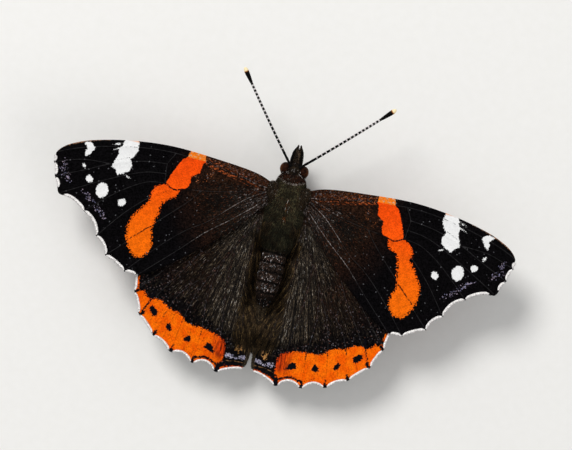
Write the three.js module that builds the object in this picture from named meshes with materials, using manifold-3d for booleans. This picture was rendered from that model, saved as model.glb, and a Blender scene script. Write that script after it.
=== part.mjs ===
// Red admiral butterfly, life size, wings spread flat, standing on its four walking legs.
// Millimetres. +Z is up, +Y runs to the head, +X is the animal's right.
// Plan sizes are measured from the line of the wing roots; the whole is then moved so that
// the origin lies on the ground under the middle of its outline.
import * as THREE from 'three';
import { mergeVertices } from 'three/addons/utils/BufferGeometryUtils.js';
import Module from 'manifold-3d';

const wasm = await Module();
wasm.setup();

// Sizes shared by several parts
const GAP = 0.3; // between parts that meet
const OUTLINE_MIDDLE_Y = -3.2; // middle of the outline along the body
const WING_THICK = 0.5;
const VEIN_HEIGHT = 0.14; // rise of a vein above each face
const VEIN_FLANK = 0.4; // from the crest of a vein to its foot
const VEIN_STEP = 2.0; // between the stations along a vein
const FILL_STEP = 2.3; // between the points of the plain membrane
const MARGIN_STEP = 0.9; // between the points of a scalloped edge
const EDGE_STEP = 1.9; // between the points of a smooth edge

// Body: rings of [y, half width, half height, height of the middle]
const THORAX = [
  [3.85, 0, 0, 6.2],
  [3.6, 1.6, 1.5, 6.25],
  [2.7, 2.65, 2.35, 6.3],
  [1.0, 2.95, 2.9, 6.35],
  [-1.2, 2.85, 2.95, 6.3],
  [-3.2, 2.4, 2.5, 6.15],
  [-4.8, 1.6, 1.75, 6.05],
  [-5.5, 0.7, 0.8, 6.05],
  [-5.7, 0, 0, 6.05],
];
const PROTHORAX = [
  [4.95, 0, 0, 6.1],
  [4.85, 1.2, 1.1, 6.1],
  [4.4, 2.05, 1.8, 6.15],
  [3.8, 2.2, 2.0, 6.2],
  [3.1, 1.9, 1.8, 6.2],
  [2.8, 0, 0, 6.2],
];
const HEAD = [
  [6.75, 0, 0, 6.0],
  [6.6, 0.6, 0.65, 6.0],
  [6.1, 1.05, 1.2, 6.0],
  [5.35, 1.3, 1.5, 6.05],
  [4.6, 1.1, 1.25, 6.1],
  [4.25, 0.55, 0.6, 6.1],
  [4.15, 0, 0, 6.1],
];
const ABDOMEN = { front: -4.9, back: -14.75, halfWidth: 1.85, frontZ: 6.15, backZ: 5.6 };
const ABDOMEN_SEGMENTS = 8;
const ABDOMEN_GROOVE = 0.05; // depth of a groove as a share of the radius
const EYE = { x: 1.1, y: 5.5, z: 6.2, halfWidth: 0.96, halfLength: 1.0, halfHeight: 1.2 };

// Forewing, right side: leading edge, outer edge from vein to vein, inner edge
const FOREWING = {
  front: [
    [1.7, 2.7], [5, 3.95], [11, 4.6], [17.3, 4.9], [23, 4.35], [28, 3.25], [30.9, 2.1],
    [32.35, 1.05], [33.0, 0.0],
  ],
  // where a vein meets the outer edge, and how far the edge falls back before the next one
  ends: [
    [33.0, 0.0, 0.0],
    [32.8, -1.05, 0.06],
    [32.25, -2.95, 0.12],
    [31.3, -5.2, 0.42],
    [27.3, -6.75, 0.48],
    [24.85, -9.75, 0.34],
    [23.0, -12.15, 0.15],
    [19.95, -13.75, 0.05],
    [18.1, -13.85, 0.0],
  ],
  back: [[18.1, -13.85], [15.4, -12.5], [12.4, -10.1], [9.0, -7.1], [5.8, -4.0], [3.5, -1.1], [1.7, 0.6]],
  veins: [
    [[3.2, 2.2], [8, 3.1], [12.5, 3.7], [17.5, 4.0], [22.5, 3.5], [27, 2.5], [30.5, 1.4], [32.8, 0.3]],
    [[16.6, 3.9], [17.4, 2.3], [17.3, 0.9], [17.1, -0.4], [16.1, -1.1]],
    [[17.4, 2.3], [21, 1.8], [25, 0.5], [28.5, -1.2], [32.25, -2.95]],
    [[25, 0.5], [29, 0.2], [32.8, -1.05]],
    [[17.3, 0.9], [20, 0.5], [23, -0.7], [26.3, -2.4], [29, -3.9], [31.3, -5.2]],
    [[17.1, -0.4], [19.5, -0.8], [22, -2.2], [24.4, -4.1], [27.3, -6.75]],
    [[3.4, 1.6], [6.2, 0.9], [10.2, 0], [14, -0.6], [16.1, -1.1], [18.5, -2.6], [21.6, -5.6], [24.85, -9.75]],
    [[12, -0.4], [13.8, -2.6], [17.7, -6.6], [20.8, -9.9], [23.0, -12.15]],
    [[4.6, 0.7], [5.4, 0.2], [7, -1.2], [10.2, -4.3], [13, -6.3], [16.2, -9.4], [19.95, -13.75]],
    [[3.6, 0.0], [5.1, -1.5], [7.2, -3.4], [10.2, -5.9], [13.2, -9.0], [18.1, -13.85]],
  ],
};
const FOREWING_ROOT_Z = 7.75;
const FOREWING_RISE = 0.115; // per millimetre outward
const FOREWING_ARCH = 0.0009; // how soon the rise levels off

// Hindwing, right side
const HINDWING = {
  front: [[1.7, -0.4], [4.4, -0.1], [8.5, -2.0], [13.0, -5.7], [16.5, -9.9], [18.1, -12.6], [18.35, -13.5]],
  ends: [
    [18.35, -13.5, 0.05],
    [17.85, -16.0, 0.1],
    [16.5, -19.0, 0.09],
    [14.0, -21.4, 0.27],
    [11.1, -23.1, 0.65],
    [7.85, -23.95, 0.85],
    [4.3, -24.4, 0.15],
    [0.6, -23.25, 0.0],
  ],
  back: [
    [0.6, -23.25], [0.2, -22.2], [0.18, -21.0], [0.18, -17], [0.7, -12.5], [1.3, -8.5], [2.2, -5.4],
    [1.7, -3.4],
  ],
  veins: [
    [[3.2, -1.3], [7.6, -2.9], [12, -6.5], [15.2, -10], [17.6, -13.2]],
    [[7.6, -2.9], [10.5, -7.0], [14, -11.6], [17.85, -16.0]],
    [[9.0, -6.0], [11.0, -10.2], [14.0, -14.8], [16.5, -19.0]],
    [[9.6, -12.6], [11.8, -15.2], [13.3, -18.8], [14.0, -21.4]],
    [[3.2, -2.2], [5.2, -6.0], [7.4, -10.2], [9.6, -15], [10.6, -19.5], [11.1, -23.1]],
    [[7.0, -9.4], [7.8, -14], [7.6, -19.5], [7.85, -23.95]],
    [[5.6, -6.8], [5.6, -12], [4.9, -18], [4.3, -24.4]],
    [[3.0, -3.0], [3.3, -8], [2.7, -14], [1.6, -20], [1.2, -23.1]],
  ],
};
const HINDWING_ROOT_Z = 6.5;
const HINDWING_RISE = 0.105;
const HINDWING_FALL = 0.02; // per millimetre backward
const TROUGH_DEPTH = 2.75; // under the abdomen
const TROUGH_HALF_WIDTH = 2.6;
const GROOVE_DEPTH = 0.8; // along the middle line behind the abdomen

// Legs, right side: points of the middle line, and the radius at each
const MID_LEG = {
  line: [
    [0.9, -0.2, 4.4], [1.7, 0.2, 3.0], [3.3, 0.6, 3.9], [5.0, 1.0, 4.5],
    [5.9, 1.4, 3.4], [7.2, 2.0, 0.9], [8.4, 2.5, 0.2], [10.6, 3.3, 0.2],
  ],
  radii: [0.5, 0.45, 0.42, 0.35, 0.3, 0.28, 0.3, 0.3],
};
const HIND_LEG = {
  line: [
    [0.9, -2.4, 4.4], [1.8, -3.0, 3.0], [3.2, -4.2, 3.8], [4.6, -5.5, 4.3],
    [5.3, -6.6, 3.3], [6.5, -8.8, 0.9], [7.0, -10.0, 0.2], [7.9, -12.8, 0.2],
  ],
  radii: [0.5, 0.45, 0.42, 0.35, 0.3, 0.28, 0.3, 0.3],
};
// The first pair is short, and folded under the front of the body.
const FORE_LEG = {
  line: [[0.8, 2.4, 4.6], [1.1, 3.0, 3.5], [1.3, 4.0, 3.0], [1.25, 5.2, 3.0], [1.15, 6.2, 3.5]],
  radii: [0.4, 0.38, 0.36, 0.32, 0.25],
};

// Feelers, each as it is held
const FEELER_ROOT = [0.6, 5.95, 6.9];
const FEELER_TIPS = { left: [-9.87, 17.82, 10.4], right: [11.9, 16.9, 10.6] };
const FEELER_BOW = 0.06; // how far the shaft bows forward
const FEELER_RADIUS = 0.25;
const CLUB_RADIUS = 0.34;
const CLUB_START = 0.86; // as a share of the length

const PALP = {
  line: [[0.52, 5.7, 4.9], [0.56, 6.9, 5.1], [0.54, 7.9, 5.6], [0.31, 9.05, 6.4]],
  radii: [0.36, 0.4, 0.36, 0.15],
};
const TONGUE = { y: 6.35, z: 3.35, outer: 1.25, inner: 0.45, turns: 1.65, radius: 0.25 };

// Turning three.js shapes into solids and back

// Shared corners merged, and triangles with no area left out.
function mergedShape(geometry) {
  const bare = geometry.clone();
  bare.deleteAttribute('normal');
  bare.deleteAttribute('uv');
  const merged = mergeVertices(bare, 1e-4);
  const corners = Array.from(merged.index.array);
  const kept = [];
  for (let i = 0; i < corners.length; i += 3) {
    const [a, b, c] = corners.slice(i, i + 3);
    if (a !== b && b !== c && c !== a) kept.push(a, b, c);
  }
  merged.setIndex(kept);
  return merged;
}

// Below zero where the faces point inward.
function signedVolume(geometry) {
  const place = geometry.attributes.position;
  const index = geometry.index.array;
  const [p, q, r] = [new THREE.Vector3(), new THREE.Vector3(), new THREE.Vector3()];
  let volume = 0;
  for (let i = 0; i < index.length; i += 3) {
    p.fromBufferAttribute(place, index[i]);
    q.fromBufferAttribute(place, index[i + 1]);
    r.fromBufferAttribute(place, index[i + 2]);
    volume += p.dot(q.cross(r)) / 6;
  }
  return volume;
}

function closedSolid(geometry) {
  const merged = mergedShape(geometry);
  const corners = Array.from(merged.index.array);
  if (signedVolume(merged) < 0) {
    for (let i = 0; i < corners.length; i += 3) corners.splice(i + 1, 2, corners[i + 2], corners[i + 1]);
  }
  return new wasm.Manifold(new wasm.Mesh({
    numProp: 3,
    vertProperties: new Float32Array(merged.attributes.position.array),
    triVerts: new Uint32Array(corners),
  }));
}

function largestPiece(solid) {
  const pieces = solid.decompose();
  return pieces.reduce((best, piece) => (piece.volume() > best.volume() ? piece : best));
}

function geometryOf(solid) {
  const { vertProperties, triVerts } = solid.getMesh();
  const geometry = new THREE.BufferGeometry();
  geometry.setAttribute('position', new THREE.BufferAttribute(new Float32Array(vertProperties), 3));
  geometry.setIndex(new THREE.BufferAttribute(new Uint32Array(triVerts), 1));
  geometry.computeVertexNormals();
  return geometry;
}

// The same shape with its surface moved outward.
function grown(geometry, distance) {
  const merged = mergedShape(geometry);
  merged.computeVertexNormals();
  const { position, normal } = merged.attributes;
  const step = distance * Math.sign(signedVolume(merged));
  for (let i = 0; i < position.count; i += 1) {
    position.setXYZ(
      i,
      position.getX(i) + normal.getX(i) * step,
      position.getY(i) + normal.getY(i) * step,
      position.getZ(i) + normal.getZ(i) * step,
    );
  }
  return merged;
}

function clearOf(solid, ...neighbours) {
  let left = solid;
  for (const neighbour of neighbours) left = left.subtract(closedSolid(grown(neighbour, GAP)));
  return largestPiece(left);
}

function mirrored(geometry) {
  return geometry.clone().scale(-1, 1, 1);
}

// Round shapes

// A lathe form along Y whose rings are [y, half width, half height, height of the middle].
function ringedBody(rings, sides, steps) {
  const sizes = new THREE.CatmullRomCurve3(rings.map(([y, w, h]) => new THREE.Vector3(y, w, h)), false, 'catmullrom', 0.5);
  const heights = new THREE.CatmullRomCurve3(rings.map(([y, , , z]) => new THREE.Vector3(y, z, 0)), false, 'catmullrom', 0.5);
  const samples = [];
  for (let i = 0; i <= steps; i += 1) {
    const size = sizes.getPoint(i / steps);
    const height = heights.getPoint(i / steps);
    samples.push({ y: size.x, width: Math.max(size.y, 0), height: Math.max(size.z, 0), z: height.y });
  }
  const profile = samples.map(({ y }, i) => new THREE.Vector2(i === 0 || i === steps ? 0 : 1, y));
  const geometry = new THREE.LatheGeometry(profile, sides);
  const place = geometry.attributes.position;
  for (let i = 0; i < place.count; i += 1) {
    const { width, height, z } = samples[i % samples.length];
    place.setX(i, place.getX(i) * width);
    place.setZ(i, place.getZ(i) * height + z);
  }
  return geometry;
}

// A lathe form bent along a line, with a radius for each point of the line.
function sweptTube(line, radiusAt, sides, steps) {
  const curve = new THREE.CatmullRomCurve3(line.map((p) => new THREE.Vector3(...p)), false, 'centripetal');
  const frames = curve.computeFrenetFrames(steps, false);
  const rings = [{ step: 0, radius: 0 }];
  for (let i = 0; i <= steps; i += 1) rings.push({ step: i, radius: radiusAt(i / steps) });
  rings.push({ step: steps, radius: 0 });
  const geometry = new THREE.LatheGeometry(rings.map(({ radius, step }) => new THREE.Vector2(radius, step)), sides);
  const place = geometry.attributes.position;
  const [spot, out] = [new THREE.Vector3(), new THREE.Vector3()];
  for (let i = 0; i < place.count; i += 1) {
    const { step } = rings[i % rings.length];
    curve.getPointAt(step / steps, spot);
    out.copy(frames.normals[step]).multiplyScalar(place.getX(i));
    out.addScaledVector(frames.binormals[step], place.getZ(i));
    spot.add(out);
    place.setXYZ(i, spot.x, spot.y, spot.z);
  }
  return geometry;
}

function mix(values, share) {
  const place = share * (values.length - 1);
  const low = Math.min(Math.floor(place), values.length - 2);
  return THREE.MathUtils.lerp(values[low], values[low + 1], place - low);
}

function ellipsoid({ x, y, z, halfWidth, halfLength, halfHeight }, across, along) {
  return new THREE.SphereGeometry(1, across, along).scale(halfWidth, halfLength, halfHeight).translate(x, y, z);
}

// Wings

function splinePoints(controls, step) {
  const curve = new THREE.SplineCurve(controls.map(([x, y]) => new THREE.Vector2(x, y)));
  const count = Math.max(2, Math.round(curve.getLength() / step));
  return curve.getSpacedPoints(count).map(({ x, y }) => [x, y]);
}

// The outer edge: from each vein to the next it falls back by a given depth.
function scallops(ends) {
  const points = [];
  for (let i = 0; i + 1 < ends.length; i += 1) {
    const [x, y, depth] = ends[i];
    const [nextX, nextY] = ends[i + 1];
    const span = Math.hypot(nextX - x, nextY - y);
    const inward = [(nextY - y) / span, -(nextX - x) / span];
    const count = Math.max(1, Math.round(span / MARGIN_STEP));
    for (let k = 0; k < count; k += 1) {
      const share = k / count;
      const fall = depth * Math.sin(Math.PI * share) ** 0.8;
      points.push([x + (nextX - x) * share + inward[0] * fall, y + (nextY - y) * share + inward[1] * fall]);
    }
  }
  return points;
}

function wingOutline(wing) {
  const front = splinePoints(wing.front, EDGE_STEP);
  const back = splinePoints(wing.back, EDGE_STEP);
  return [...front.slice(0, -1), ...scallops(wing.ends), ...back];
}

function insideOutline([x, y], outline) {
  let inside = false;
  for (let i = 0, j = outline.length - 1; i < outline.length; j = i, i += 1) {
    const [[ax, ay], [bx, by]] = [outline[i], outline[j]];
    if (ay > y !== by > y && x < ((bx - ax) * (y - ay)) / (by - ay) + ax) inside = !inside;
  }
  return inside;
}

function distanceToSegment([x, y], [ax, ay], [bx, by]) {
  const along = ((x - ax) * (bx - ax) + (y - ay) * (by - ay)) / ((bx - ax) ** 2 + (by - ay) ** 2);
  const share = THREE.MathUtils.clamp(along, 0, 1);
  return Math.hypot(x - ax - (bx - ax) * share, y - ay - (by - ay) * share);
}

function distanceToOutline(point, outline) {
  return Math.min(...outline.map((corner, i) => distanceToSegment(point, corner, outline[(i + 1) % outline.length])));
}

// Delaunay triangles over a plan, adding one point at a time.
function triangulate(plan) {
  const count = plan.length;
  const corners = [...plan, [-900, -700], [900, -700], [0, 1100]];
  const withCircle = (a, b, c) => {
    const [[ax, ay], [bx, by], [cx, cy]] = [corners[a], corners[b], corners[c]];
    const d = 2 * (ax * (by - cy) + bx * (cy - ay) + cx * (ay - by));
    const x = ((ax * ax + ay * ay) * (by - cy) + (bx * bx + by * by) * (cy - ay) + (cx * cx + cy * cy) * (ay - by)) / d;
    const y = ((ax * ax + ay * ay) * (cx - bx) + (bx * bx + by * by) * (ax - cx) + (cx * cx + cy * cy) * (bx - ax)) / d;
    return { face: d > 0 ? [a, b, c] : [a, c, b], x, y, reach: (ax - x) ** 2 + (ay - y) ** 2 };
  };
  let faces = [withCircle(count, count + 1, count + 2)];
  for (let i = 0; i < count; i += 1) {
    const [x, y] = corners[i];
    const edges = new Map();
    const kept = [];
    for (const entry of faces) {
      if ((x - entry.x) ** 2 + (y - entry.y) ** 2 > entry.reach) {
        kept.push(entry);
        continue;
      }
      entry.face.forEach((a, k) => {
        const b = entry.face[(k + 1) % 3];
        const key = Math.min(a, b) * 100000 + Math.max(a, b);
        if (edges.has(key)) edges.delete(key);
        else edges.set(key, [a, b]);
      });
    }
    faces = kept;
    for (const [a, b] of edges.values()) faces.push(withCircle(a, b, i));
  }
  return faces.map(({ face }) => face).filter((face) => face.every((corner) => corner < count));
}

// Stations along the veins: a crest, and a foot on either side.
function veinStations(wing, outline) {
  const stations = [];
  for (const vein of wing.veins) {
    const crest = splinePoints(vein, VEIN_STEP);
    crest.forEach(([x, y], i) => {
      const [ax, ay] = crest[Math.max(i - 1, 0)];
      const [bx, by] = crest[Math.min(i + 1, crest.length - 1)];
      const length = Math.hypot(bx - ax, by - ay);
      const across = [(-(by - ay) / length) * VEIN_FLANK, ((bx - ax) / length) * VEIN_FLANK];
      const rise = i === crest.length - 1 ? 0.5 * VEIN_HEIGHT : VEIN_HEIGHT;
      stations.push({ spot: [x, y], rise });
      stations.push({ spot: [x + across[0], y + across[1]], rise: 0 });
      stations.push({ spot: [x - across[0], y - across[1]], rise: 0 });
    });
  }
  const clear = stations.filter(({ spot }) => insideOutline(spot, outline) && distanceToOutline(spot, outline) > 0.45);
  const kept = [];
  const byHeight = [...clear.filter(({ rise }) => rise > 0), ...clear.filter(({ rise }) => rise === 0)];
  for (const station of byHeight) {
    const near = kept.some(({ spot }) => Math.hypot(spot[0] - station.spot[0], spot[1] - station.spot[1]) < 0.36);
    if (!near) kept.push(station);
  }
  return kept;
}

function fillPoints(outline, taken) {
  const xs = outline.map(([x]) => x);
  const ys = outline.map(([, y]) => y);
  const points = [];
  let row = 0;
  for (let y = Math.min(...ys); y < Math.max(...ys); y += FILL_STEP * 0.87) {
    for (let x = Math.min(...xs) + (row % 2) * FILL_STEP * 0.5; x < Math.max(...xs); x += FILL_STEP) {
      const spot = [x, y];
      const free = taken.every(([tx, ty]) => Math.hypot(tx - x, ty - y) > FILL_STEP * 0.55);
      if (free && insideOutline(spot, outline) && distanceToOutline(spot, outline) > 0.8) points.push(spot);
    }
    row += 1;
  }
  return points;
}

// A wing as a sheet over its plan: both faces have the same triangles, and the veins rise from each.
function wingGeometry(wing, middleAt) {
  const outline = wingOutline(wing);
  const stations = veinStations(wing, outline);
  const fill = fillPoints(outline, [...outline, ...stations.map(({ spot }) => spot)]);
  const plan = [...outline, ...stations.map(({ spot }) => spot), ...fill];
  const rises = [...outline.map(() => 0), ...stations.map(({ rise }) => rise), ...fill.map(() => 0)];
  const shaken = plan.map(([x, y], i) => [x + 2e-4 * Math.sin(i * 12.9898), y + 2e-4 * Math.sin(i * 78.233)]);
  const faces = triangulate(shaken).filter((face) => {
    const centre = [0, 1].map((k) => (plan[face[0]][k] + plan[face[1]][k] + plan[face[2]][k]) / 3);
    return insideOutline(centre, outline);
  });
  const count = plan.length;
  const position = new Float32Array(count * 6);
  plan.forEach(([x, y], i) => {
    const slope = Math.hypot(middleAt(x + 0.01, y) - middleAt(x, y), middleAt(x, y + 0.01) - middleAt(x, y)) / 0.01;
    const root = 0.3 * Math.exp(-(((x - 1.7) / 2.2) ** 2));
    const half = (0.5 * WING_THICK + root + rises[i]) * Math.hypot(1, slope);
    position.set([x, y, middleAt(x, y) + half], i * 3);
    position.set([x, y, middleAt(x, y) - half], (count + i) * 3);
  });
  const index = [];
  const rim = new Map();
  for (const [a, b, c] of faces) {
    index.push(a, b, c, count + a, count + c, count + b);
    for (const [from, to] of [[a, b], [b, c], [c, a]]) {
      const back = to * 100000 + from;
      if (rim.has(back)) rim.delete(back);
      else rim.set(from * 100000 + to, [from, to]);
    }
  }
  for (const [from, to] of rim.values()) index.push(from, count + from, to, to, count + from, count + to);
  const geometry = new THREE.BufferGeometry();
  geometry.setAttribute('position', new THREE.BufferAttribute(position, 3));
  geometry.setIndex(index);
  return geometry;
}

function forewingMiddle(x, y) {
  const out = x - 1.7;
  return FOREWING_ROOT_Z + FOREWING_RISE * out - FOREWING_ARCH * out * out + 0.012 * y;
}

function hindwingMiddle(x, y) {
  const plane = HINDWING_ROOT_Z + HINDWING_RISE * (x - 1.7) + HINDWING_FALL * (y + 1);
  const near = 1 / (1 + (x / TROUGH_HALF_WIDTH) ** 4);
  const start = THREE.MathUtils.smoothstep(-y, 3.4, 7.2);
  const end = THREE.MathUtils.smoothstep(-y, 13.8, 19.0);
  const depth = start * THREE.MathUtils.lerp(TROUGH_DEPTH, GROOVE_DEPTH, end);
  return plane - depth * near;
}

// Body parts

function abdomenGeometry() {
  const { front, back, halfWidth, frontZ, backZ } = ABDOMEN;
  const rings = [[front, 0, 0, frontZ]];
  for (let i = 0; i < ABDOMEN_SEGMENTS; i += 1) {
    for (const part of [0.08, 0.5, 0.92]) {
      const share = (i + part) / ABDOMEN_SEGMENTS;
      const swell = Math.sin(Math.PI * (0.2 + 0.8 * share) ** 1.05) ** 0.62;
      const groove = part === 0.5 ? 1 : 1 - ABDOMEN_GROOVE;
      const radius = halfWidth * swell * groove;
      rings.push([front + (back - front) * share, radius, radius * 0.94, frontZ + (backZ - frontZ) * share ** 1.4]);
    }
  }
  rings.push([back, 0, 0, backZ]);
  return ringedBody(rings, 16, (rings.length - 1));
}

function legGeometry({ line, radii }) {
  const geometry = sweptTube(line, (share) => mix(radii, share), 8, 20);
  const place = geometry.attributes.position;
  for (let i = 0; i < place.count; i += 1) place.setZ(i, Math.max(place.getZ(i), 0));
  return geometry;
}

function feelerGeometry(side, tip) {
  const root = [FEELER_ROOT[0] * side, FEELER_ROOT[1], FEELER_ROOT[2]];
  const bow = [0.35, 0.7].map((share) => root.map((value, k) => {
    const straight = value + (tip[k] - value) * share;
    return straight + (k === 1 ? FEELER_BOW * Math.sin(Math.PI * share) : 0);
  }));
  const radiusAt = (share) => {
    const club = THREE.MathUtils.smoothstep(share, CLUB_START - 0.06, CLUB_START + 0.05);
    const point = 1 - 0.75 * THREE.MathUtils.smoothstep(share, 0.965, 1.0);
    return THREE.MathUtils.lerp(FEELER_RADIUS, CLUB_RADIUS, club) * point;
  };
  return sweptTube([root, ...bow, tip], radiusAt, 8, 26);
}

function tongueGeometry() {
  const { y, z, outer, inner, turns, radius } = TONGUE;
  const line = [[0, y - 0.6, z + outer + 0.9]];
  const steps = Math.round(turns * 10);
  for (let i = 0; i <= steps; i += 1) {
    const angle = Math.PI * 0.62 - (i / 10) * 2 * Math.PI;
    const reach = outer + (inner - outer) * (i / steps);
    line.push([0, y + reach * Math.cos(angle), z + reach * Math.sin(angle)]);
  }
  return sweptTube(line, (share) => radius * (1 - 0.35 * share), 8, 44);
}

// Materials

const finish = (color, roughness) => new THREE.MeshStandardMaterial({ color, roughness, metalness: 0 });
const LOOKS = {
  fur: () => finish(0x59472f, 0.9),
  abdomen: () => finish(0x2b221b, 0.75),
  eye: () => finish(0x5a2418, 0.25),
  forewing: () => finish(0x15110f, 0.7),
  hindwing: () => finish(0x2a1c14, 0.7),
  leg: () => finish(0x6b5236, 0.6),
  feeler: () => finish(0x1c1815, 0.5),
};

// Assembly

const animal = new THREE.Group();

function place(name, solid, look) {
  const mesh = new THREE.Mesh(geometryOf(solid), look());
  mesh.name = name;
  animal.add(mesh);
}

const thorax = ringedBody(THORAX, 24, 22);
const head = ringedBody(HEAD, 20, 14);
const abdomen = abdomenGeometry();
const prothorax = ringedBody(PROTHORAX, 20, 10);
const forewing = wingGeometry(FOREWING, forewingMiddle);
const hindwing = wingGeometry(HINDWING, hindwingMiddle);

place('thorax', closedSolid(thorax), LOOKS.fur);
place('head', closedSolid(head), LOOKS.fur);
place('prothorax', clearOf(closedSolid(prothorax), thorax, head), LOOKS.fur);
place('abdomen', clearOf(closedSolid(abdomen), thorax), LOOKS.abdomen);
place('proboscis', clearOf(closedSolid(tongueGeometry()), head), LOOKS.feeler);

for (const [side, name] of [[1, 'right'], [-1, 'left']]) {
  const facing = (geometry) => (side === 1 ? geometry : mirrored(geometry));
  const eye = facing(ellipsoid(EYE, 16, 12));
  place(`eye_${name}`, clearOf(closedSolid(eye), head, prothorax), LOOKS.eye);
  const feeler = feelerGeometry(side, FEELER_TIPS[name]);
  place(`antenna_${name}`, clearOf(closedSolid(feeler), head, eye), LOOKS.feeler);
  const palp = facing(sweptTube(PALP.line, (share) => mix(PALP.radii, share), 8, 10));
  place(`palp_${name}`, clearOf(closedSolid(palp), head, eye), LOOKS.fur);
  place(`forewing_${name}`, clearOf(closedSolid(facing(forewing)), thorax, prothorax), LOOKS.forewing);
  place(`hindwing_${name}`, clearOf(closedSolid(facing(hindwing)), thorax, abdomen), LOOKS.hindwing);
  place(`foreleg_${name}`, clearOf(closedSolid(facing(legGeometry(FORE_LEG))), thorax, prothorax), LOOKS.leg);
  place(`midleg_${name}`, clearOf(closedSolid(facing(legGeometry(MID_LEG))), thorax), LOOKS.leg);
  place(`hindleg_${name}`, clearOf(closedSolid(facing(legGeometry(HIND_LEG))), thorax), LOOKS.leg);
}

animal.position.y = -OUTLINE_MIDDLE_Y;
animal.updateMatrixWorld(true);

export default animal;
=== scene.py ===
import math
from collections import namedtuple

import bpy
import numpy as np
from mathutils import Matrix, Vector
from mathutils.geometry import delaunay_2d_cdt


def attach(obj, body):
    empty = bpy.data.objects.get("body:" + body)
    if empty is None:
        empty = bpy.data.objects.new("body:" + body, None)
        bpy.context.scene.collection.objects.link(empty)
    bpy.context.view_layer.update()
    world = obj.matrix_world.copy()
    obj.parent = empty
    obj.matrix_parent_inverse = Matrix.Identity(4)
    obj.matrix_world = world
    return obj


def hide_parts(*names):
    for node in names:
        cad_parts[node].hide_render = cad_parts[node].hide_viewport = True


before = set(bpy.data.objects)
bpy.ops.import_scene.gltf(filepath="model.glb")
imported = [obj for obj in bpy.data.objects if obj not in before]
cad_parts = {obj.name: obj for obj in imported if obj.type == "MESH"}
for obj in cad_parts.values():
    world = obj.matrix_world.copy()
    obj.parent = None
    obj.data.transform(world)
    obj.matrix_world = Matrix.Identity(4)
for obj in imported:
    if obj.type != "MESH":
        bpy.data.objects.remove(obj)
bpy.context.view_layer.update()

# Sizes are in millimetres, and plan sizes are measured from the line of the wing roots.
MM = 0.001
ROOT_LINE_Y = 3.2
SIDES = ((1, "right"), (-1, "left"))

# The camera's lean is in degrees
CAMERA = {"place": (0.616, 0.947, 341.7), "lean": 13.2, "lens": 150, "sensor": 36}

# Wings: how fine their sheets are, how thick, and how their veins stand out
SHEET_STEP = 0.19
SHEET_HALF = 0.05
RIDGE_HEIGHT = 0.1
RIDGE_WIDTH = 0.13
MEMBRANE_SAG = 0.07

# How high the wings start at their roots, and how they rise outwards, ease off and tilt forwards
WING_ROOT_X = 1.7
FOREWING_ROOT_Z = 7.75
FOREWING_SINK = 0.22
FOREWING_RISE = 0.115
FOREWING_EASE = 0.0009
FOREWING_TILT = 0.012
HINDWING_ROOT_Z = 6.5
HINDWING_LIFT = 0.18
HINDWING_RISE = 0.105
HINDWING_TILT = 0.02

# The hindwings' dip beside the abdomen, and how far behind the wing roots it deepens and rises again
DIP_WIDTH = 2.6
DIP_DEPTH = 2.75
REAR_DIP_DEPTH = 0.8
DIP_START = (3.4, 7.2)
DIP_END = (13.8, 19.0)

# Scales on the wings: how many to a millimetre, how unevenly they lie, and how soft a mark's edge is on one
SCALES_TO_A_MM = 7.5
SCALE_RELIEF = 0.02
EDGE_SOFTNESS = 0.03

# Hairs and scales of the coat
HAIR_WIDTH = 0.045
SCALE_WIDTH = 0.09
INNER_FRINGE_HAIRS = 5200
PALP_HAIRS = 2600
LEG_BRISTLES = 340

FOREWING = {
    "front": [
        (1.7, 2.7), (5, 3.95), (11, 4.6), (17.3, 4.9), (23, 4.35), (28, 3.25), (30.9, 2.1), (32.35, 1.05),
        (33.0, 0.0),
    ],
    # where each vein meets the outer edge, how far the edge falls back after it, and its dark tip's reach
    "ends": [
        (33.0, 0.0, 0.0, -0.2),
        (32.8, -1.05, 0.06, 0.1),
        (32.25, -2.95, 0.12, 0.2),
        (31.3, -5.2, 0.42, 0.9),
        (27.3, -6.75, 0.48, 0.08),
        (24.85, -9.75, 0.34, 0.1),
        (23.0, -12.15, 0.15, 0.1),
        (19.95, -13.75, 0.05, 0.12),
        (18.1, -13.85, 0.0, 0.1),
    ],
    "back": [
        (18.1, -13.85), (15.4, -12.5), (12.4, -10.1), (9.0, -7.1), (5.8, -4.0), (3.5, -1.1), (1.7, 0.6),
    ],
    "veins": [
        [(3.2, 2.2), (8, 3.1), (12.5, 3.7), (17.5, 4.0), (22.5, 3.5), (27, 2.5), (30.5, 1.4), (32.9, 0.3)],
        [(16.6, 3.9), (17.4, 2.3), (17.3, 0.9), (17.1, -0.4), (16.1, -1.1)],
        [(17.4, 2.3), (21, 1.8), (25, 0.5), (28.5, -1.2), (32.3, -2.95)],
        [(25, 0.5), (29, 0.2), (32.75, -1.0)],
        [(17.3, 0.9), (20, 0.5), (23, -0.7), (26.3, -2.4), (29, -3.9), (31.2, -5.15)],
        [(17.1, -0.4), (19.5, -0.8), (22, -2.2), (24.4, -4.1), (27.25, -6.7)],
        [
            (3.4, 1.6), (6.2, 0.9), (10.2, 0), (14, -0.6), (16.1, -1.1), (18.5, -2.6), (21.6, -5.6),
            (24.8, -9.75),
        ],
        [(12, -0.4), (13.8, -2.6), (17.7, -6.6), (20.8, -9.9), (23.0, -12.1)],
        [(3.4, 1.4), (5.4, 0.2), (7, -1.2), (10.2, -4.3), (13, -6.3), (16.2, -9.4), (19.95, -13.7)],
        [(3.4, 0.1), (5.1, -1.5), (7.2, -3.4), (10.2, -5.9), (13.2, -9.0), (18.1, -13.85)],
    ],
    # where its lines run out from, how far the sheet stays inside its edges, and the fringe's depth
    "root": (2.2, 1.6),
    "inset": (0.06, 0.1),
    "fringe": 0.35,
}
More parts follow.
